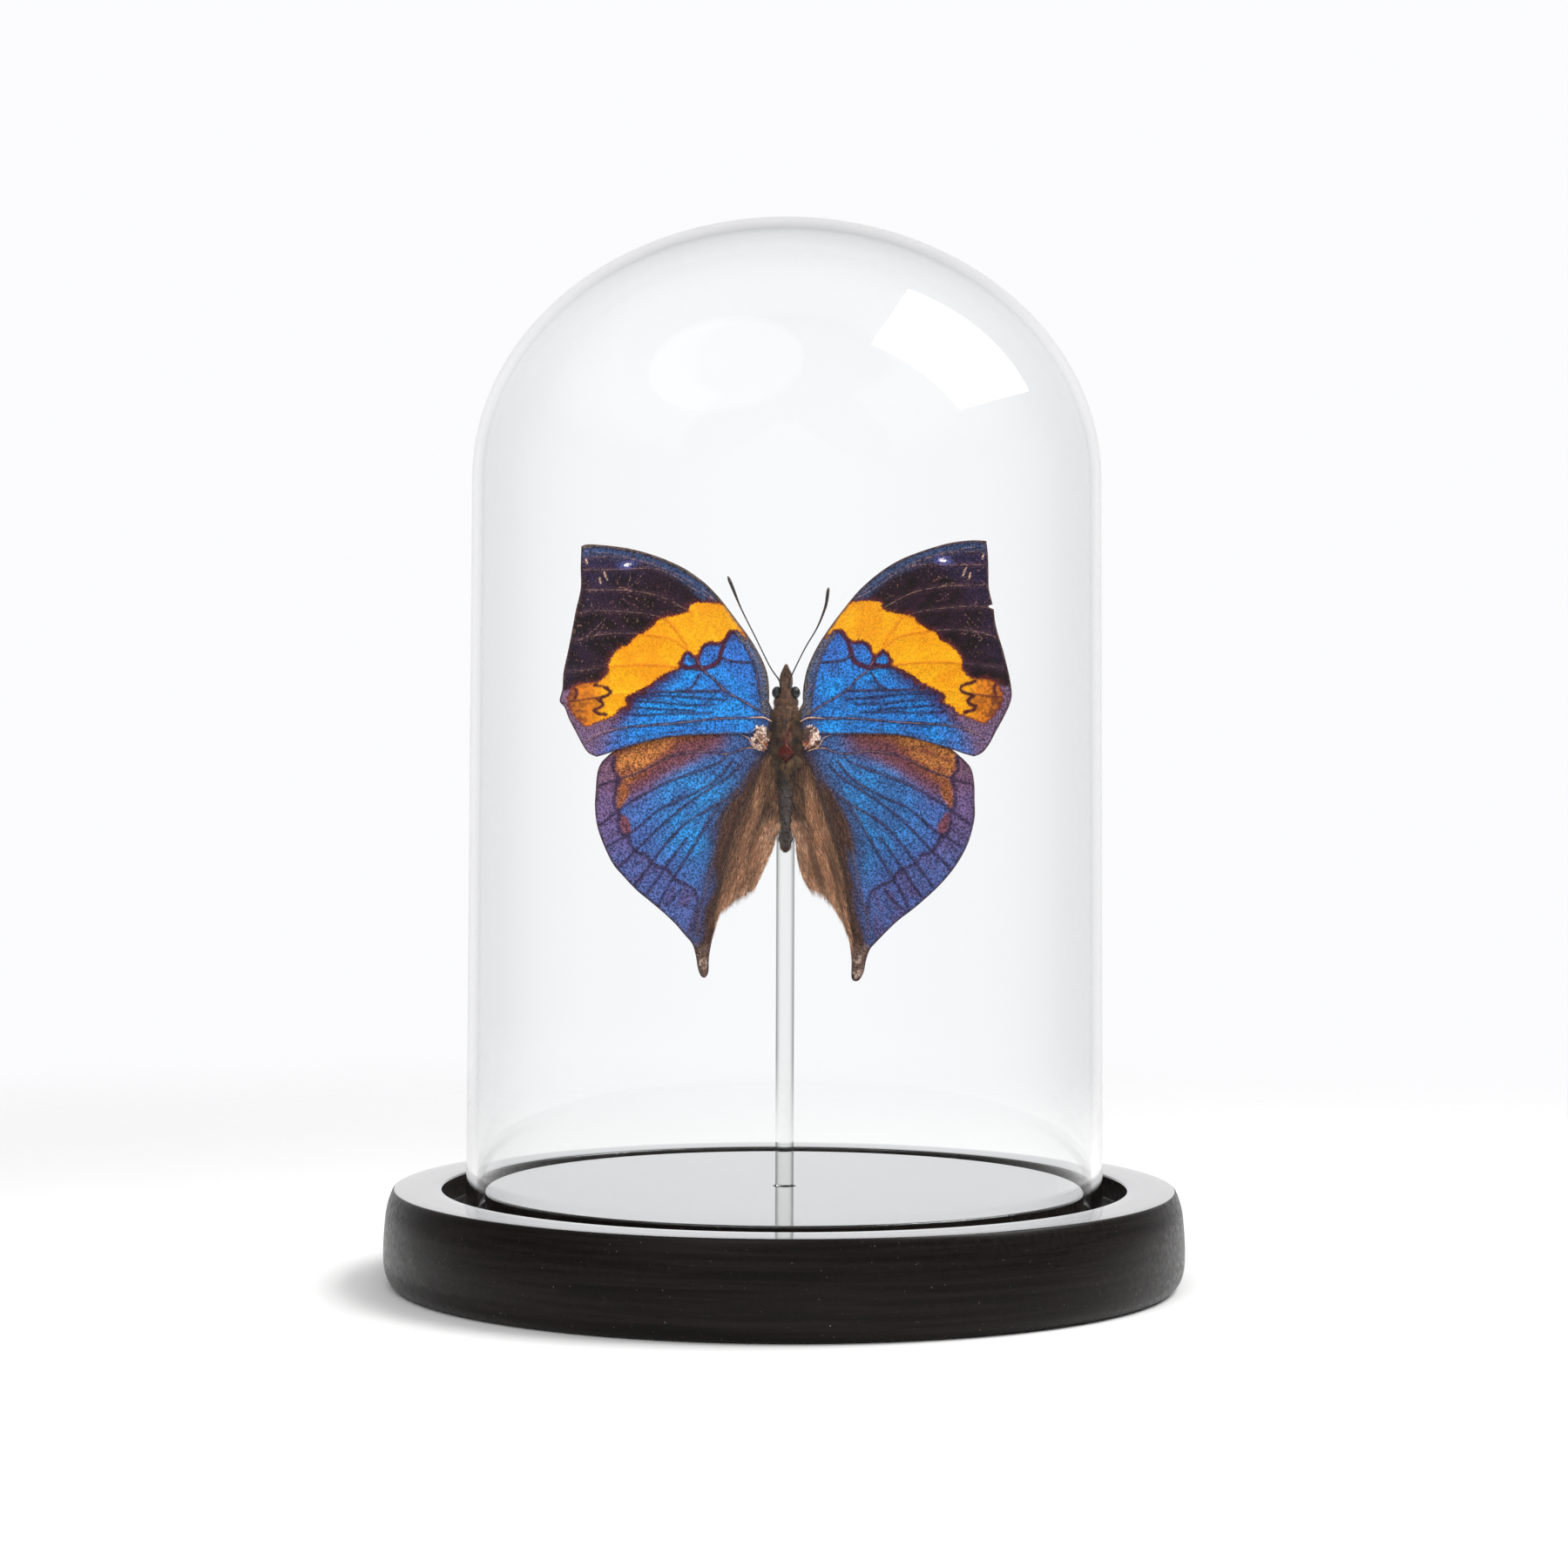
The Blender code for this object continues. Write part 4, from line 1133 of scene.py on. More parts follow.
def make_stage():
    make_camera()
    make_world()
    make_floor()
    make_light("window", (0.60, 0.0, 0.68), distance=0.85, size=0.56, radiance=9.0)
    make_light("octabox", (-0.31, -0.51, 0.80), distance=0.95, size=0.80, radiance=1.3, shape="DISK")
    make_light("fill", (-0.22, -0.90, 0.38), distance=1.2, size=0.9, radiance=2.9, reflected=False)
    scene = bpy.context.scene
    scene.view_settings.view_transform = "Standard"
    scene.view_settings.look = "None"


# ---------------------------------------------------------------- base, dome and rod

def turned(name, profile, segments, slot_name, materials, replaced, slot_of=None):
    """A solid of revolution from (radius, height) points in metres, the axis first and last."""
    angles = 2 * np.pi * np.arange(segments) / segments
    vertices, rings = [], []
    for radius, height in profile:
        if radius < 1e-9:
            rings.append([len(vertices)] * segments)
            vertices.append((0.0, 0.0, height))
            continue
        rings.append(list(range(len(vertices), len(vertices) + segments)))
        vertices += [(radius * math.cos(a), radius * math.sin(a), height) for a in angles]
    faces, slots = [], []
    for row, (upper, lower) in enumerate(zip(rings, rings[1:])):
        for step in range(segments):
            after = (step + 1) % segments
            corners = [upper[step], lower[step], lower[after], upper[after]]
            kept = [c for index, c in enumerate(corners) if c != corners[index - 1]]
            faces.append(kept)
            slots.append(slot_of(profile[row], profile[row + 1]) if slot_of else 0)
    thing = mesh_piece(name, vertices, faces, slot_name, materials, replaced)
    thing.data.polygons.foreach_set("material_index", slots)
    thing.data.set_sharp_from_angle(angle=math.radians(SHARP_ANGLE))
    return thing


def arc(centre, radius, start, end, steps):
    angles = np.radians(np.linspace(start, end, steps + 1))
    return [(centre[0] + radius * math.cos(a), centre[1] + radius * math.sin(a)) for a in angles]


def base_profile():
    """The turned base from its axis out along the top and down to the foot, in mm."""
    side = smooth_path(
        ((73.4, 17.5), (74.2, 15.2), (74.65, 12.6), (75.0, 7.6), (74.9, 4.0), (74.3, 1.8), (73.3, 0.5),
         (72.3, 0.0)), 5
    )
    side[:, 0] = np.minimum(side[:, 0], 75.0)
    return [
        (0.0, 10.0), (2.02, 10.0), (2.02, 17.75), (2.25, 18.0),
        *[(radius, 18.0) for radius in np.linspace(4.0, 55.6, 14)],
        *arc((55.7, 17.6), 0.4, 90.0, 0.0, 5),
        (56.1, 15.5), *arc((56.5, 13.9), 0.4, 180.0, 270.0, 4), (60.0, 13.5),
        *arc((63.7, 13.9), 0.4, 270.0, 360.0, 4), (64.1, 15.8),
        *arc((64.5, 17.6), 0.4, 180.0, 90.0, 5),
        (67.0, 18.0), (70.0, 18.0), *arc((72.7, 17.3), 0.7, 90.0, 30.0, 5),
        *[tuple(point) for point in side[1:]],
        (71.0, 0.0), (40.0, 0.0), (0.0, 0.0),
    ]


def dome_profile():
    """The dome's wall from the outside of its crown down, round the foot, and back up inside, in mm."""
    outer_radius, foot_radius, shoulder, top, foot, wall = 58.7, 59.65, 150.2, 199.0, 13.8, 2.0
    outside, inside_wall = [], []
    heights = [*np.linspace(shoulder, foot + 6.0, 13)[1:], foot + 3.0, foot + 1.6, foot + 1.1]
    for inset, points in ((0.0, outside), (wall, inside_wall)):
        rise = top - inset - shoulder
        for step in range(41):
            angle = 0.5 * math.pi * step / 40
            points.append(((outer_radius - inset) * math.sin(angle), shoulder + rise * math.cos(angle)))
        for height in heights:
            share = (shoulder - height) / (shoulder - foot)
            points.append((outer_radius + (foot_radius - outer_radius) * share - inset, height))
    rounded = arc((foot_radius - 0.5 * wall, foot + 0.5 * wall), 0.5 * wall, 0.0, -180.0, 12)
    return [*outside, *rounded, *inside_wall[::-1]]


def rod_profile():
    """The rod from its flat top down to its foot in the base's hole, with slightly eased ends, in mm."""
    radius, top, foot = 1.72, 105.0, 10.3
    return [
        (0.0, top), (1.5, top), (radius, 104.8), *[(radius, up) for up in np.linspace(100.0, 11.0, 12)],
        (radius, 10.5), (1.55, foot), (0.0, foot),
    ]


def is_side(first, second):
    """Slot 1, the satin finish, for the groove and everything outside and below the top's rim."""
    middle_radius = 0.5 * (first[0] + second[0])
    middle_height = 0.5 * (first[1] + second[1])
    return int(middle_height < BASE_TOP - 0.5 * MM or middle_radius > BASE_RADIUS - 2.0 * MM)


def in_metres(profile):
    return [(radius * MM, height * MM) for radius, height in profile]


def make_case():
    base = in_metres(base_profile())
    turned("turned_base", base, 256, "black_lacquered_wood", [LACQUER, SATIN], ("base",), is_side)
    dome = turned("glass_dome", in_metres(dome_profile()), 224, "clear_glass", [GLASS], ("dome",))
    # Thin clear glass casts next to no shadow.
    dome.visible_shadow = False
    turned("clear_rod_bar", in_metres(rod_profile()), 64, "clear_rod", [ROD_GLASS], ("rod",))
    drop = ball((0.0, -2.5, 0.0), (2.3, 2.0, 3.4), 40, 24, 0.10, 11)
    mesh_piece("clear_glue_drop", *drop, "clear_glue", [ROD_GLASS], ("glue_dab",))


# ---------------------------------------------------------------- body, in mm
# Sections are (up, half width, half depth, middle's y); tubes are (x, y, up, radius).

THORAX_SECTIONS = (
    (-5.5, 0.5, 0.7, -6.5), (-4.6, 1.8, 2.1, -6.6), (-2.6, 2.4, 2.8, -6.6), (0.0, 2.6, 3.0, -6.6),
    (2.4, 2.5, 2.8, -6.6), (4.2, 2.3, 2.3, -6.6), (5.2, 1.6, 1.6, -6.6),
)
HEAD_SECTIONS = (
    (4.5, 1.9, 1.7, -6.6), (5.4, 2.2, 1.9, -6.6), (6.2, 2.05, 1.9, -6.7), (7.2, 1.35, 1.8, -6.8),
    (8.3, 1.05, 1.7, -6.9), (9.3, 0.95, 1.3, -6.9), (10.2, 0.5, 0.6, -6.9),
)
ABDOMEN_SECTIONS = (
    (-5.2, 0.9, 1.1, -6.5), (-7.0, 1.5, 1.7, -6.3), (-10.0, 1.55, 1.75, -6.2), (-14.0, 1.5, 1.65, -6.0),
    (-18.0, 1.25, 1.35, -5.7), (-20.5, 0.85, 0.95, -5.5), (-21.7, 0.2, 0.3, -5.4),
)
SEGMENT_LENGTH = 1.62
EYE_PLACE = (1.68, -7.15, 7.55)  # x, y, up
EYE_SIZE = (0.98, 1.3, 1.18)
ANTENNA_LEFT = (
    (1.0, -8.3, 8.6, 0.20), (1.3, -8.9, 9.9, 0.16), (3.0, -9.0, 12.4, 0.125), (5.7, -9.3, 17.8, 0.125),
    (8.3, -9.6, 23.0, 0.15), (9.8, -9.8, 26.6, 0.29), (10.5, -9.9, 28.3, 0.31), (10.8, -9.9, 29.0, 0.12),
)
ANTENNA_RIGHT = (
    (0.6, -8.3, 8.6, 0.20), (0.7, -8.9, 9.9, 0.16), (1.7, -9.0, 12.2, 0.125), (3.6, -9.3, 16.0, 0.125),
    (5.7, -9.6, 19.6, 0.15), (7.2, -9.8, 23.4, 0.26), (7.65, -9.9, 26.2, 0.30), (7.8, -9.9, 27.0, 0.12),
)
PALP = (
    (0.66, -6.9, 8.9, 0.55), (0.60, -7.0, 10.1, 0.56), (0.46, -7.2, 11.1, 0.42), (0.26, -7.4, 11.9, 0.22),
    (0.12, -7.5, 12.5, 0.06),
)
FORELEG = ((1.3, -4.6, 3.2, 0.24), (1.5, -3.8, 4.4, 0.22), (1.7, -3.7, 6.4, 0.18), (1.5, -4.2, 8.2, 0.10))
MIDLEG = (
    (1.9, -4.4, -0.4, 0.34), (2.5, -3.4, 0.6, 0.3), (3.0, -2.9, 3.2, 0.28), (3.3, -2.3, 5.4, 0.22),
    (3.2, -1.5, 5.0, 0.2), (3.0, -1.2, 1.6, 0.17), (2.8, -0.9, -2.4, 0.12), (2.6, -0.7, -5.0, 0.09),
)
HINDLEG = (
    (1.8, -4.4, -3.6, 0.34), (2.4, -3.5, -3.4, 0.3), (3.4, -3.2, -1.2, 0.28), (3.9, -2.6, 0.6, 0.22),
    (4.0, -1.9, 0.0, 0.2), (3.6, -1.9, -4.0, 0.17), (2.9, -2.2, -8.6, 0.12), (2.4, -2.6, -11.6, 0.09),
)
PROBOSCIS_MIDDLE = (-3.4, 8.3)
PROBOSCIS_RADII = (1.15, 0.35)
PROBOSCIS_TURNS = 1.75

SHORT_HAIR = 1.0  # mm: hairs up to this long are straight

UMBER = (0.140, 0.057, 0.025)
UMBER_DARK = (0.034, 0.015, 0.009)
TAWNY = (0.32, 0.17, 0.080)
MOSS = (0.17, 0.120, 0.055)
PELT_FAWN = (0.37, 0.165, 0.080)
PELT_ROSE = (0.25, 0.105, 0.055)
PELT_PALE = (0.64, 0.38, 0.21)
PELT_DARK = (0.11, 0.046, 0.024)
PELT_WHITE = (0.95, 0.74, 0.58)
GUNMETAL = (0.070, 0.056, 0.056)
ASH = (0.30, 0.24, 0.22)
UMBER_COAT = (UMBER_DARK, UMBER, TAWNY)
MOSS_COAT = (UMBER, UMBER_DARK, MOSS)
FLANK_COAT = (UMBER, TAWNY, UMBER_DARK)
HINGE_BROWN = (0.30, 0.15, 0.10)
HINGE_DARK = (0.075, 0.034, 0.024)
HINGE_GLINT = (1.0, 0.78, 0.66)
HINGE_EMBER = (0.42, 0.075, 0.018)
RIB_COPPER = (0.62, 0.36, 0.25)
RIB_DARK = (0.10, 0.06, 0.045)
# Coppery ribs over the wing joint; the last one is dark.
HINGE_RIBS = (
    ((2.6, -8.5, 2.2, 0.12), (4.0, -8.5, 2.9, 0.15), (5.6, -8.1, 2.95, 0.11), (7.4, -8.15, 2.8, 0.05)),
    ((8.2, -7.6, -0.3, 0.04), (6.9, -8.2, -0.9, 0.09), (6.0, -8.5, -2.4, 0.10), (4.0, -8.4, -3.3, 0.09)),
    ((6.1, -8.3, 0.0, 0.05), (4.9, -8.75, -1.2, 0.10), (3.4, -8.6, -3.0, 0.08)),
    ((8.6, -7.2, -3.1, 0.04), (6.8, -7.5, -2.7, 0.07), (5.0, -8.2, -2.9, 0.09)),
    ((3.3, -8.7, 2.0, 0.10), (3.5, -8.8, 0.6, 0.13), (3.3, -8.6, -0.8, 0.10)),
)
BARE_STREAK = (
    (0.70, -9.0, 2.6, 0.04), (0.72, -9.3, 1.6, 0.13), (0.52, -9.5, 0.4, 0.19), (0.16, -9.6, -1.0, 0.27),
    (0.02, -9.5, -2.2, 0.20),
)


def at_thorax(points):
    """Places in metres from (x, y, height above the thorax's middle) in mm."""
    return np.asarray(points, float) * MM + np.array([0.0, 0.0, MIDDLE_UP])


def ball(place, size, around, rings, rough, seed):
    """A slightly uneven ellipsoid as (vertices in metres, faces)."""
    rng = np.random.default_rng(seed)
    waves = rng.uniform(-1.0, 1.0, (5, 3)) * 2.2
    rows = [(0.0, 1.0)]
    rows += [(math.sin(math.pi * r / rings), math.cos(math.pi * r / rings)) for r in range(1, rings)]
    rows += [(0.0, -1.0)]
    points, faces, starts = [], [], []
    for radius, up in rows:
        starts.append(len(points))
        count = around if radius > 1e-9 else 1
        for step in range(count):
            angle = 2 * math.pi * step / around
            way = np.array([radius * math.cos(angle), radius * math.sin(angle), up])
            wobble = sum(math.sin(float(wave @ way) + index) for index, wave in enumerate(waves))
            swell = 1.0 - 0.5 * rough + 0.1 * rough * wobble
            points.append(np.array(place) + way * np.array(size) * swell)
    for row in range(rings):
        for step in range(around):
            after = (step + 1) % around
            first, second = starts[row], starts[row + 1]
            upper = [first] if row == 0 else [first + after, first + step]
            lower = [second] if row == rings - 1 else [second + step, second + after]
            faces.append(tuple(upper + lower))
    return at_thorax(points), faces


def capped_rings(rings, around):
    """Faces between rings of points that follow each other, and over both ends."""
    faces = []
    for first in range(0, (rings - 1) * around, around):
        second = first + around
        for step in range(around):
            after = (step + 1) % around
            faces.append((first + step, first + after, second + after, second + step))
    return [*faces, tuple(range(around))[::-1], tuple(range((rings - 1) * around, rings * around))]


def tube(rows, side, around, steps, ringed=0.0, pitch=0.4):
    """A tapered tube through (x, y, up, radius) rows in mm, with rings when `ringed`: (vertices, faces)."""
    path = smooth_path([(side * x, y, up, radius) for x, y, up, radius in rows], steps)
    middle, radii = path[:, :3], np.maximum(path[:, 3], 0.02)
    length = np.concatenate([[0.0], np.cumsum(np.linalg.norm(np.diff(middle, axis=0), axis=1))])
    radii = radii * (1.0 + ringed * np.cos(2 * np.pi * length / pitch))
    along = unit(np.gradient(middle, axis=0))
    across = np.cross(along, np.array([0.0, 1.0, 0.0]))
    flat = np.linalg.norm(across, axis=1) < 1e-3
    across[flat] = np.cross(along[flat], np.array([1.0, 0.0, 0.0]))
    across = unit(across)
    other = np.cross(along, across)
    angles = 2 * np.pi * np.arange(around) / around
    cosine, sine = np.cos(angles)[None, :, None], np.sin(angles)[None, :, None]
    rings = middle[:, None] + radii[:, None, None] * (cosine * across[:, None] + sine * other[:, None])
    return at_thorax(rings.reshape(-1, 3)), capped_rings(len(path), around)


def joined(parts):
    """Several (vertices, faces) as one."""
    vertices, faces, count = [], [], 0
    for points, corners in parts:
        vertices.append(points)
        faces += [tuple(index + count for index in face) for face in corners]
        count += len(points)
    return np.vstack(vertices), faces


def section_at(sections, share):
    """Section values at each share of the way along a body."""
    rows = smooth_path(sections, 10)
    place = share * (len(rows) - 1)
    low = np.minimum(place.astype(int), len(rows) - 2)
    part = (place - low)[:, None]
    return rows[low] * (1 - part) + rows[low + 1] * part


def skin_points(sections, share, angle, relief):
    """(points in mm, outward normals) on a body at these shares and angles."""
    rows = section_at(sections, share)
    push = relief(rows[:, 0], angle) if relief else 0.0
    x = (rows[:, 1] + push) * np.cos(angle)
    y = rows[:, 3] + (rows[:, 2] + push) * np.sin(angle)
    points = np.column_stack([x, y, rows[:, 0]])
    wide, deep = np.maximum(rows[:, 1], 0.1), np.maximum(rows[:, 2], 0.1)
    normal = unit(np.column_stack([np.cos(angle) / wide, np.sin(angle) / deep, 0 * x]))
    above, below = (section_at(sections, np.clip(share + step, 0, 1)) for step in (0.01, -0.01))
    nearby = above - below
    normal[:, 2] = -nearby[:, 1] / np.where(np.abs(nearby[:, 0]) < 1e-6, 1e-6, nearby[:, 0])
    return points, unit(normal)


def body_mesh(sections, around, rings, relief=None):
    """The closed skin of a body."""
    share = np.repeat(np.linspace(0.0, 1.0, rings), around)
    angle = np.tile(2 * np.pi * np.arange(around) / around, rings)
    points, _ = skin_points(sections, share, angle, relief)
    rising = sections[-1][0] > sections[0][0]
    faces = capped_rings(rings, around)
    return at_thorax(points), faces if rising else [face[::-1] for face in faces]


def fibres(roots, aims, comb, lengths, widths, straight=False):
    """Three-sided hairs that bend from their aim towards the comb direction: (vertices, faces) in mm.

    A straight hair goes to the same tip with no ring of points half way.
    """
    aims = unit(aims)
    tips = unit(aims + comb)
    across = unit(np.cross(tips, np.array([0.31, 0.87, 0.38])))
    other = np.cross(tips, across)
    half = roots + aims * (0.5 * lengths)[:, None]
    end = half + tips * (0.5 * lengths)[:, None]
    rings = []
    levels = [(roots, widths)] if straight else [(roots, widths), (half, 0.8 * widths)]
    for middle, width in levels:
        for angle in (0.0, 2.0944, 4.18879):
            rings.append(middle + width[:, None] * (math.cos(angle) * across + math.sin(angle) * other))
    rings.append(end)
    vertices = np.stack(rings, axis=1).reshape(-1, 3)
    if straight:
        pattern = [(0, 2, 1), (0, 1, 3), (1, 2, 3), (2, 0, 3)]
    else:
        pattern = [(0, 2, 1), (0, 1, 4, 3), (1, 2, 5, 4), (2, 0, 3, 5), (3, 4, 6), (4, 5, 6), (5, 3, 6)]
    starts = (len(rings) * np.arange(len(roots))).tolist()
    faces = [tuple(index + start for index in face) for start in starts for face in pattern]
    return vertices, faces


def fur_piece(name, parts):
    """One furry piece from parts of (vertices in mm, faces, one colour a hair)."""
    vertices, faces = joined([(points, corners) for points, corners, _ in parts])
    thing = mesh_piece(name, at_thorax(vertices), faces, "body_fur", [FUR])
    shades = [np.repeat(colours, len(points) // len(colours), axis=0) for points, _, colours in parts]
    float_colours(thing.data, "paint", np.vstack(shades))
    return thing


def mixed_colours(rng, count, first, second, third):
    """A colour for each hair: between two, or now and then the third, lighter or darker by chance."""
    share = rng.random((count, 1))
    colours = np.array(first) * (1 - share) + np.array(second) * share
    pick = rng.random(count) < 0.18
    colours[pick] = third
    return colours * rng.uniform(0.5, 1.5, (count, 1))


def coat(sections, count, seed, shares, angles, comb, lift, length, width, palette, keep=None, relief=None,
         shade=None):
    """Hairs over part of a body, as (vertices, faces, one colour a hair).

    Angles are from +X, so -90 degrees faces the front. Lift 0 lays hairs along the comb and 1 stands them
    on end. The palette has two usual colours and a rare one.
    """
    rng = np.random.default_rng(seed)
    share = rng.uniform(*shares, count)
    angle = np.radians(rng.uniform(*angles, count))
    roots, normals = skin_points(sections, share, angle, relief)
    if keep:
        kept = keep(roots, rng)
        roots, normals, angle = roots[kept], normals[kept], angle[kept]
    count = len(roots)
    flow = np.tile(np.array(comb, float), (count, 1))
    flow[:, 0] += 0.35 * roots[:, 0] / 2.0
    flow += rng.normal(0.0, 0.22, (count, 3))
    aims = flow * (1.0 - lift) + normals * lift + rng.normal(0.0, 0.10, (count, 3))
    lengths = rng.uniform(*length, count)
    widths = rng.uniform(0.7, 1.25, count) * width
    short = length[1] <= SHORT_HAIR
    vertices, faces = fibres(roots - 0.04 * normals, aims, 0.8 * flow, lengths, widths, short)
    tufts = fractal(np.column_stack([angle * 2.4, roots[:, 2] * 0.9]) + 20.0, 1.0, seed + 300, 2)
    colours = mixed_colours(rng, count, *palette) * (0.35 + 1.3 * ramp(tufts, 0.25, 0.75))[:, None]
    if shade:
        colours *= shade(roots)[:, None]
    return vertices, faces, colours


def thorax_shade(roots):
    """Dark lines down the back and darker flanks, under a paler collar."""
    lines = np.minimum.reduce([np.abs(roots[:, 0] - place) for place in (-0.62, -0.05, 0.78)])
    stripe = fade(lines, 0.08, 0.30) * ramp(roots[:, 2], 0.4, 1.0) * fade(roots[:, 2], 3.0, 3.8)
    flank = ramp(np.abs(roots[:, 0]), 1.5, 2.3) * fade(roots[:, 2], 1.0, 3.5)
    collar = ramp(roots[:, 2], 4.0, 4.9)
    return (1.0 - 0.85 * stripe) * (1.0 - 0.45 * flank) * (1.0 + 0.5 * collar)


def abdomen_relief(up, angle):
    """Overlapping rings, each swelling towards the tail and stepping in, under a low ridge."""
    phase = ((-up - 5.6) / SEGMENT_LENGTH) % 1.0
    ring = 0.26 * np.sin(np.pi * np.minimum(phase, 0.94) ** 1.3) - 0.14
    ridge = 0.07 * np.exp(-((np.sin(angle) + 1.0) / 0.06))
    return ring + ridge


def thorax_relief(up, angle):
    """A groove down the middle of the back and two shallow ones beside it."""
    across = np.cos(angle)
    front = np.sin(angle) < 0
    groove = 0.16 * np.exp(-((across / 0.10) ** 2)) + 0.08 * np.exp(-(((np.abs(across) - 0.45) / 0.10) ** 2))
    return -groove * front * ramp(up, -3.0, 0.0)


def scutellum():
    """The glossy chestnut shield at the back of the thorax, a domed rhombus."""
    around, rings = 40, 9
    points, faces = [], []
    for ring in range(rings + 1):
        share = math.sin(0.5 * math.pi * ring / rings)
        for step in range(around):
            angle = 2 * math.pi * step / around
            corner = 1.0 / (abs(math.cos(angle)) ** 1.25 + abs(math.sin(angle)) ** 1.25) ** 0.8
            x = 1.50 * share * corner * math.cos(angle)
            up = -3.58 + 1.62 * share * corner * math.sin(angle)
            y = -9.42 - 0.55 * math.sqrt(max(0.0, 1.0 - share * share)) + 0.16 * abs(x) - 0.16 * (up + 3.75)
            points.append((x, y, up))
    for ring in range(rings):
        for step in range(around):
            after = (step + 1) % around
            first, second = ring * around, (ring + 1) * around
            if ring:
                faces.append((first + step, second + step, second + after, first + after))
            else:
                faces.append((0, second + step, second + after))
    back = len(points)
    points += [(x * 0.9, y + 0.9, up) for x, y, up in points[-around:]]
    last = rings * around
    for step in range(around):
        after = (step + 1) % around
        faces.append((last + step, back + step, back + after, last + after))
    faces.append(tuple(range(back, back + around)))
    return at_thorax(points), faces


def hinge(side, seed):
    """The crumpled joint of the wings with the thorax, with painted glints in its colours: (vertices, faces,
    colours).
    """
    around, rings = 96, 64
    points, faces = ball((0.0, 0.0, 0.0), (1.0, 1.0, 1.0), around, rings, 0.0, 1)
    way = (points - np.array([0.0, 0.0, MIDDLE_UP])) / MM
    flat = np.column_stack([way[:, 0] * 1.9, way[:, 2] * 2.6]) + 30.0
    crumple = fractal(flat, 0.85, seed, 4) - 0.5
    creases = np.abs(fractal(flat + 9.0, 1.5, seed + 7, 3) - 0.5)
    push = 1.0 + 0.26 * crumple - 0.22 * fade(creases, 0.0, 0.07)
    shell = way * np.array([1.85, 0.85, 2.45]) * push[:, None]
    places = shell + np.array([side * 4.55, -7.75, -0.75])
    inward = 4.9 - np.abs(places[:, 0])
    glitter = fractal(flat + 3.0, 0.22, seed + 11, 2)
    patches = fractal(flat + 6.0, 1.1, seed + 13, 2)
    colours = all_over(places, HINGE_BROWN)
    lay(colours, HINGE_DARK, ramp(patches, 0.50, 0.66))
    # Painted glints: near-white patches over the crumple, fewer towards the body.
    glint_share = ramp(glitter + 1.3 * (0.5 - patches) - 0.12 * inward, 0.46, 0.66)
    lay(colours, HINGE_GLINT, 0.95 * glint_share)
    ember = fade(places[:, 2], -2.2, -0.9) * ramp(inward, 0.0, 0.9) * ramp(glitter, 0.35, 0.5)
    lay(colours, HINGE_EMBER, 0.8 * ember)
    parts = [(at_thorax(places), faces)]
    hues = [colours]
    for rib in HINGE_RIBS:
        bar = tube(rib, side, 8, 6)
        parts.append(bar)
        hues.append(all_over(bar[0], RIB_DARK if rib is HINGE_RIBS[-1] else RIB_COPPER))
    return (*joined(parts), np.vstack(hues))


def off_bare_parts(roots, rng):
    """Which hairs stand off the scutellum and, mostly, off the bare streak above it."""
    shield = np.abs(roots[:, 0]) / 1.6 + np.abs(roots[:, 2] + 3.45) / 1.9 < 1.0
    middle = 0.12 + 0.15 * (roots[:, 2] + 1.0)
    streak = (np.abs(roots[:, 0] - middle) < 0.26) & (roots[:, 2] < 2.3) & (roots[:, 2] > -2.4)
    front = roots[:, 1] < -6.6
    return ~(front & shield) & ~(front & streak & (rng.random(len(roots)) < 0.85))


def make_skins():
    """The bare surfaces that the hairs grow from, the scutellum and the wing joints."""
    thorax = body_mesh(THORAX_SECTIONS, 64, 70, thorax_relief)
    mesh_piece("thorax_skin", *thorax, "body_fur", [HIDE], ("thorax",))
    mesh_piece("bare_streak", *tube(BARE_STREAK, 1, 20, 8, 0.05, 0.9), "dark_horn", [ROSE_SKIN])
    mesh_piece("scutellum", *scutellum(), "dark_horn", [CHESTNUT])
    for side, word in ((-1, "left"), (1, "right")):
        vertices, faces, colours = hinge(side, 40 + 6 * side)
        joint = mesh_piece("wing_hinge_" + word, vertices, faces, "forewing_scales", [COPPER_SCALES])
        float_colours(joint.data, "paint", colours)
    mesh_piece("head_skin", *body_mesh(HEAD_SECTIONS, 48, 40), "body_fur", [HIDE], ("head",))
    abdomen = body_mesh(ABDOMEN_SECTIONS, 64, 150, abdomen_relief)
    mesh_piece("abdomen_rings", *abdomen, "body_fur", [ABDOMEN_SKIN], ("abdomen",))


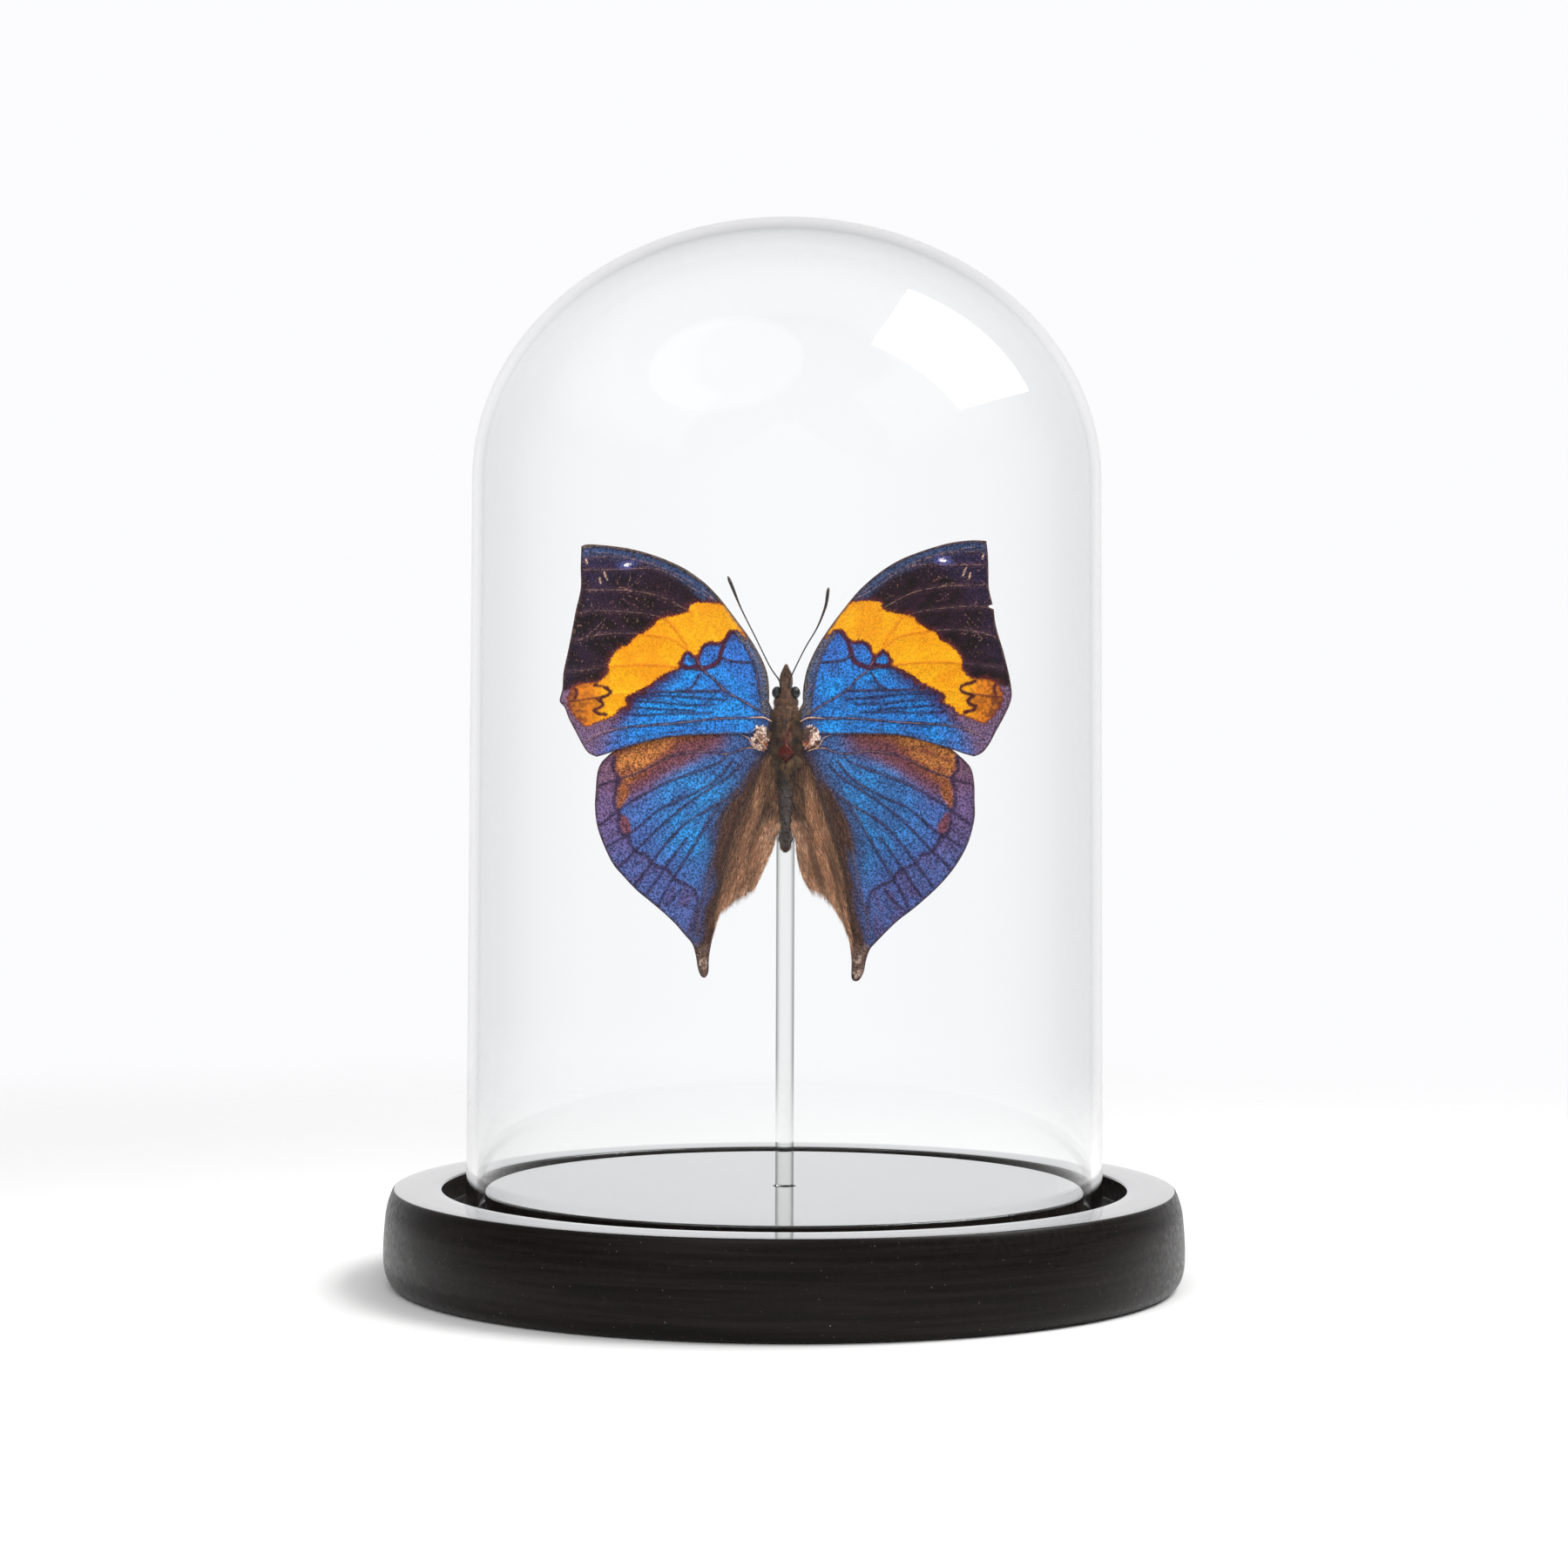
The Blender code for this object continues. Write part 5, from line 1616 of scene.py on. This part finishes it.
def make_fur():
    down = (0, 0, -1)
    fur_piece("thorax_fur", [
        coat(THORAX_SECTIONS, 10000, 1, (0.04, 0.97), (-180, 0), down, 0.22, (0.35, 0.85), 0.030, UMBER_COAT,
             off_bare_parts, thorax_relief, thorax_shade),
        coat(THORAX_SECTIONS, 4200, 2, (0.04, 0.97), (0, 180), down, 0.35, (0.45, 1.0), 0.034, UMBER_COAT),
        coat(THORAX_SECTIONS, 2200, 3, (0.0, 0.24), (-175, -5), (0, -0.05, -1), 0.25, (1.2, 2.6), 0.032,
             (MOSS, UMBER, TAWNY), off_bare_parts),
        coat(THORAX_SECTIONS, 1400, 4, (0.86, 0.97), (-180, 180), (0, 0, 0.8), 0.4, (0.3, 0.6), 0.028,
             (TAWNY, UMBER, PELT_FAWN)),
        *[coat(THORAX_SECTIONS, 2600, seed, (0.25, 0.85), angles, (0.25 * side, -0.1, -0.8), 0.45, (0.6, 1.3),
               0.030, MOSS_COAT) for seed, side, angles in ((31, 1, (-62, 12)), (32, -1, (-192, -118)))],
    ])
    fur_piece("head_fur", [
        coat(HEAD_SECTIONS, 5000, 5, (0.05, 0.97), (-180, 180), (0, 0, 0.9), 0.3, (0.22, 0.5), 0.026,
             (UMBER, UMBER_DARK, TAWNY)),
    ])
    rows = (
        (2600, 6, (0.0, 0.30), (-180, 180), down, 0.25, (0.8, 1.6), 0.030, MOSS_COAT),
        (1500, 7, (0.28, 0.93), (-240, -168), down, 0.3, (0.4, 1.0), 0.028, FLANK_COAT),
        (1500, 8, (0.28, 0.93), (-12, 60), down, 0.3, (0.4, 1.0), 0.028, FLANK_COAT),
        (1300, 9, (0.30, 0.99), (-168, -12), down, 0.06, (0.12, 0.28), 0.020, (GUNMETAL, UMBER_DARK, ASH)),
        (400, 10, (0.94, 1.0), (-180, 180), down, 0.2, (0.4, 0.8), 0.028, UMBER_COAT),
    )
    fur_piece("abdomen_fur", [coat(ABDOMEN_SECTIONS, *row, relief=abdomen_relief) for row in rows])


def make_limbs():
    for side, word, antenna in ((-1, "left", ANTENNA_LEFT), (1, "right", ANTENNA_RIGHT)):
        x, y, up = EYE_PLACE
        eye = ball((side * x, y, up), EYE_SIZE, 48, 32, 0.0, 1)
        mesh_piece("faceted_eye_" + word, *eye, "eye_black", [EYE], ("eye_" + word,))
        feeler = tube(antenna, side, 12, 26, 0.10, 0.38)
        mesh_piece("ringed_antenna_" + word, *feeler, "dark_horn", [HORN], ("antenna_" + word,))
        mesh_piece("scaled_palp_" + word, *tube(PALP, side, 20, 8), "body_fur", [HIDE], ("palp_" + word,))
        for kind, rows in (("foreleg", FORELEG), ("midleg", MIDLEG), ("hindleg", HINDLEG)):
            leg = tube(rows, side, 12, 9, 0.06, 0.5)
            mesh_piece(f"jointed_{kind}_{word}", *leg, "dark_horn", [HORN], (f"{kind}_{word}",))
    make_proboscis()
    make_palp_fur()


def make_proboscis():
    rows = []
    for step in range(61):
        share = step / 60
        angle = 2 * math.pi * PROBOSCIS_TURNS * share
        radius = PROBOSCIS_RADII[0] + (PROBOSCIS_RADII[1] - PROBOSCIS_RADII[0]) * share
        rows.append((0.0, PROBOSCIS_MIDDLE[0] - radius * math.sin(angle),
                     PROBOSCIS_MIDDLE[1] + radius * math.cos(angle), 0.12 - 0.05 * share))
    mesh_piece("coiled_proboscis", *tube(rows, 1, 10, 2, 0.06, 0.3), "dark_horn", [HORN], ("proboscis",))


def make_palp_fur():
    palps = []
    rng = np.random.default_rng(77)
    for side in (-1, 1):
        path = smooth_path([(side * x, y, up, radius) for x, y, up, radius in PALP], 12)
        rows = path[rng.integers(0, len(path), 1100)]
        angle = rng.uniform(0, 2 * np.pi, len(rows))
        normal = np.column_stack([np.cos(angle), np.sin(angle), 0 * angle])
        roots = rows[:, :3] + normal * rows[:, 3:4]
        comb = np.column_stack([-0.10 * side * np.ones(len(rows)), 0 * angle, np.ones(len(rows))])
        lengths = rng.uniform(0.2, 0.5, len(rows))
        widths = rng.uniform(0.02, 0.035, len(rows))
        hairs = fibres(roots, comb + 0.25 * normal, comb, lengths, widths)
        palps.append((*hairs, mixed_colours(rng, len(rows), *UMBER_COAT)))
    fur_piece("palp_fur", palps)


def make_fold_fur(sheet, side, pairs, word, seed):
    """Long fawn hairs lying along the hindwing's folded inner part, with dark hairs as painted shade beside
    the abdomen and along the fold's crease.
    """
    flat, surface = sheet
    rng = np.random.default_rng(seed)
    pattern = warp(flat, fit_warp(pairs)) if pairs else flat
    fold = side_of(FOLD_LINE, pattern)
    brown = side_of(ANAL_EDGE, pattern)
    out, up = pattern.T
    # The second palette's dark hairs are laid as painted shade.
    pale, streak = (PELT_PALE, PELT_WHITE, PELT_FAWN), (UMBER_DARK, PELT_DARK, TAWNY)
    groups = (
        (7200, (fold > 0.15) & (up < -2.0), (PELT_FAWN, PELT_ROSE, PELT_PALE), (0.8, 1.9), 0.12),
        (450, (fold > 0.5) & (up < -15.0) & (out < 4.8), pale, (0.6, 1.3), 0.10),
        # Dark hairs as painted shade: in the hollow beside the abdomen, then along the fold's crease.
        (1100, (fold > 0.4) & (out < 4.4) & (up < -3.0) & (up > -15.0), streak, (1.0, 2.2), 0.2),
        (900, (fold > -0.3) & (fold < 0.5) & (up > -34.0), streak, (0.8, 1.6), 0.12),
        (900, (brown > 0.9) & (fold < 0.2) & (up > -36.0), (PELT_DARK, SMOKE, PELT_ROSE), (0.6, 1.3), 0.08),
    )
    parts = []
    for count, mask, palette, length, lift in groups:
        chosen = rng.choice(np.flatnonzero(mask), count)
        roots = surface[chosen] + rng.uniform(-0.1, 0.1, (count, 3)) * np.array([1.0, 0.0, 1.0])
        lean = 0.10 + 0.24 * ramp(-up[chosen], 3.0, 18.0) + rng.normal(0.0, 0.13, count)
        flow = np.column_stack([side * lean, -lift * rng.uniform(0.4, 1.6, count), -np.ones(count)])
        lengths = rng.uniform(*length, count)
        widths = rng.uniform(0.016, 0.030, count)
        hairs = fibres(roots, flow, np.array([0.0, 0.12, -0.3]), lengths, widths)
        splay = out[chosen] + 0.33 * up[chosen]
        clumps = fractal(np.column_stack([splay * 1.5, up[chosen] * 0.12]) + 50.0, 1.0, seed + 5, 3)
        colours = mixed_colours(rng, count, *palette) * (0.55 + 0.9 * ramp(clumps, 0.28, 0.72))[:, None]
        parts.append((*hairs, colours))
    fur_piece("hindwing_fur_" + word, parts)


def main():
    make_stage()
    make_case()
    make_skins()
    make_fur()
    make_limbs()
    make_wing("forewing_left", -1, FOREWING_VEINS, None, forewing_paint, 100)
    make_wing("forewing_right", 1, FOREWING_VEINS, RIGHT_FOREWING_PAIRS, forewing_paint, 300)
    sheet = make_wing("hindwing_left", -1, HINDWING_VEINS, None, hindwing_paint, 500)
    make_fold_fur(sheet, -1, None, "left", 61)
    sheet = make_wing("hindwing_right", 1, HINDWING_VEINS, RIGHT_HINDWING_PAIRS, hindwing_paint, 700)
    make_fold_fur(sheet, 1, RIGHT_HINDWING_PAIRS, "right", 62)


SCALES = {
    "forewing": wing_material("forewing_scales", True),
    "hindwing": wing_material("hindwing_scales", False),
    "under": underside_material(),
}
GLASS = glass_material("dome_glass", (0.995, 1.0, 1.0, 1.0), 1.46, 0.3)
ROD_GLASS = glass_material("rod_glass", (0.93, 0.945, 0.93, 1.0), 1.49, 1.0)
LACQUER = lacquer_material("black_lacquer", 1.0, 0.2, 0.10)
SATIN = lacquer_material("black_satin", 0.0, 0.09, 0.32)
FUR = fur_material()
HIDE = skin_material("hide", UMBER_DARK, UMBER, 0.6)
HORN = skin_material("horn", (0.014, 0.010, 0.008), (0.05, 0.034, 0.026), 0.35)
ABDOMEN_SKIN = skin_material("abdomen_skin", (0.014, 0.009, 0.008), (0.058, 0.039, 0.033), 0.26, 7000.0, 0.3)
CHESTNUT = skin_material("chestnut", (0.022, 0.002, 0.001), (0.10, 0.007, 0.002), 0.30, 2600.0, 0.05, 0.2)
ROSE_SKIN = skin_material("rose_skin", (0.055, 0.010, 0.010), (0.20, 0.045, 0.042), 0.20, 1400.0, 0.3, 0.35)
COPPER_SCALES = painted_scales("copper_scales", 0.30, 0.15)
EYE = skin_material("eye", (0.003, 0.002, 0.002), (0.006, 0.004, 0.004), 0.12, 5200.0, 0.3)
main()
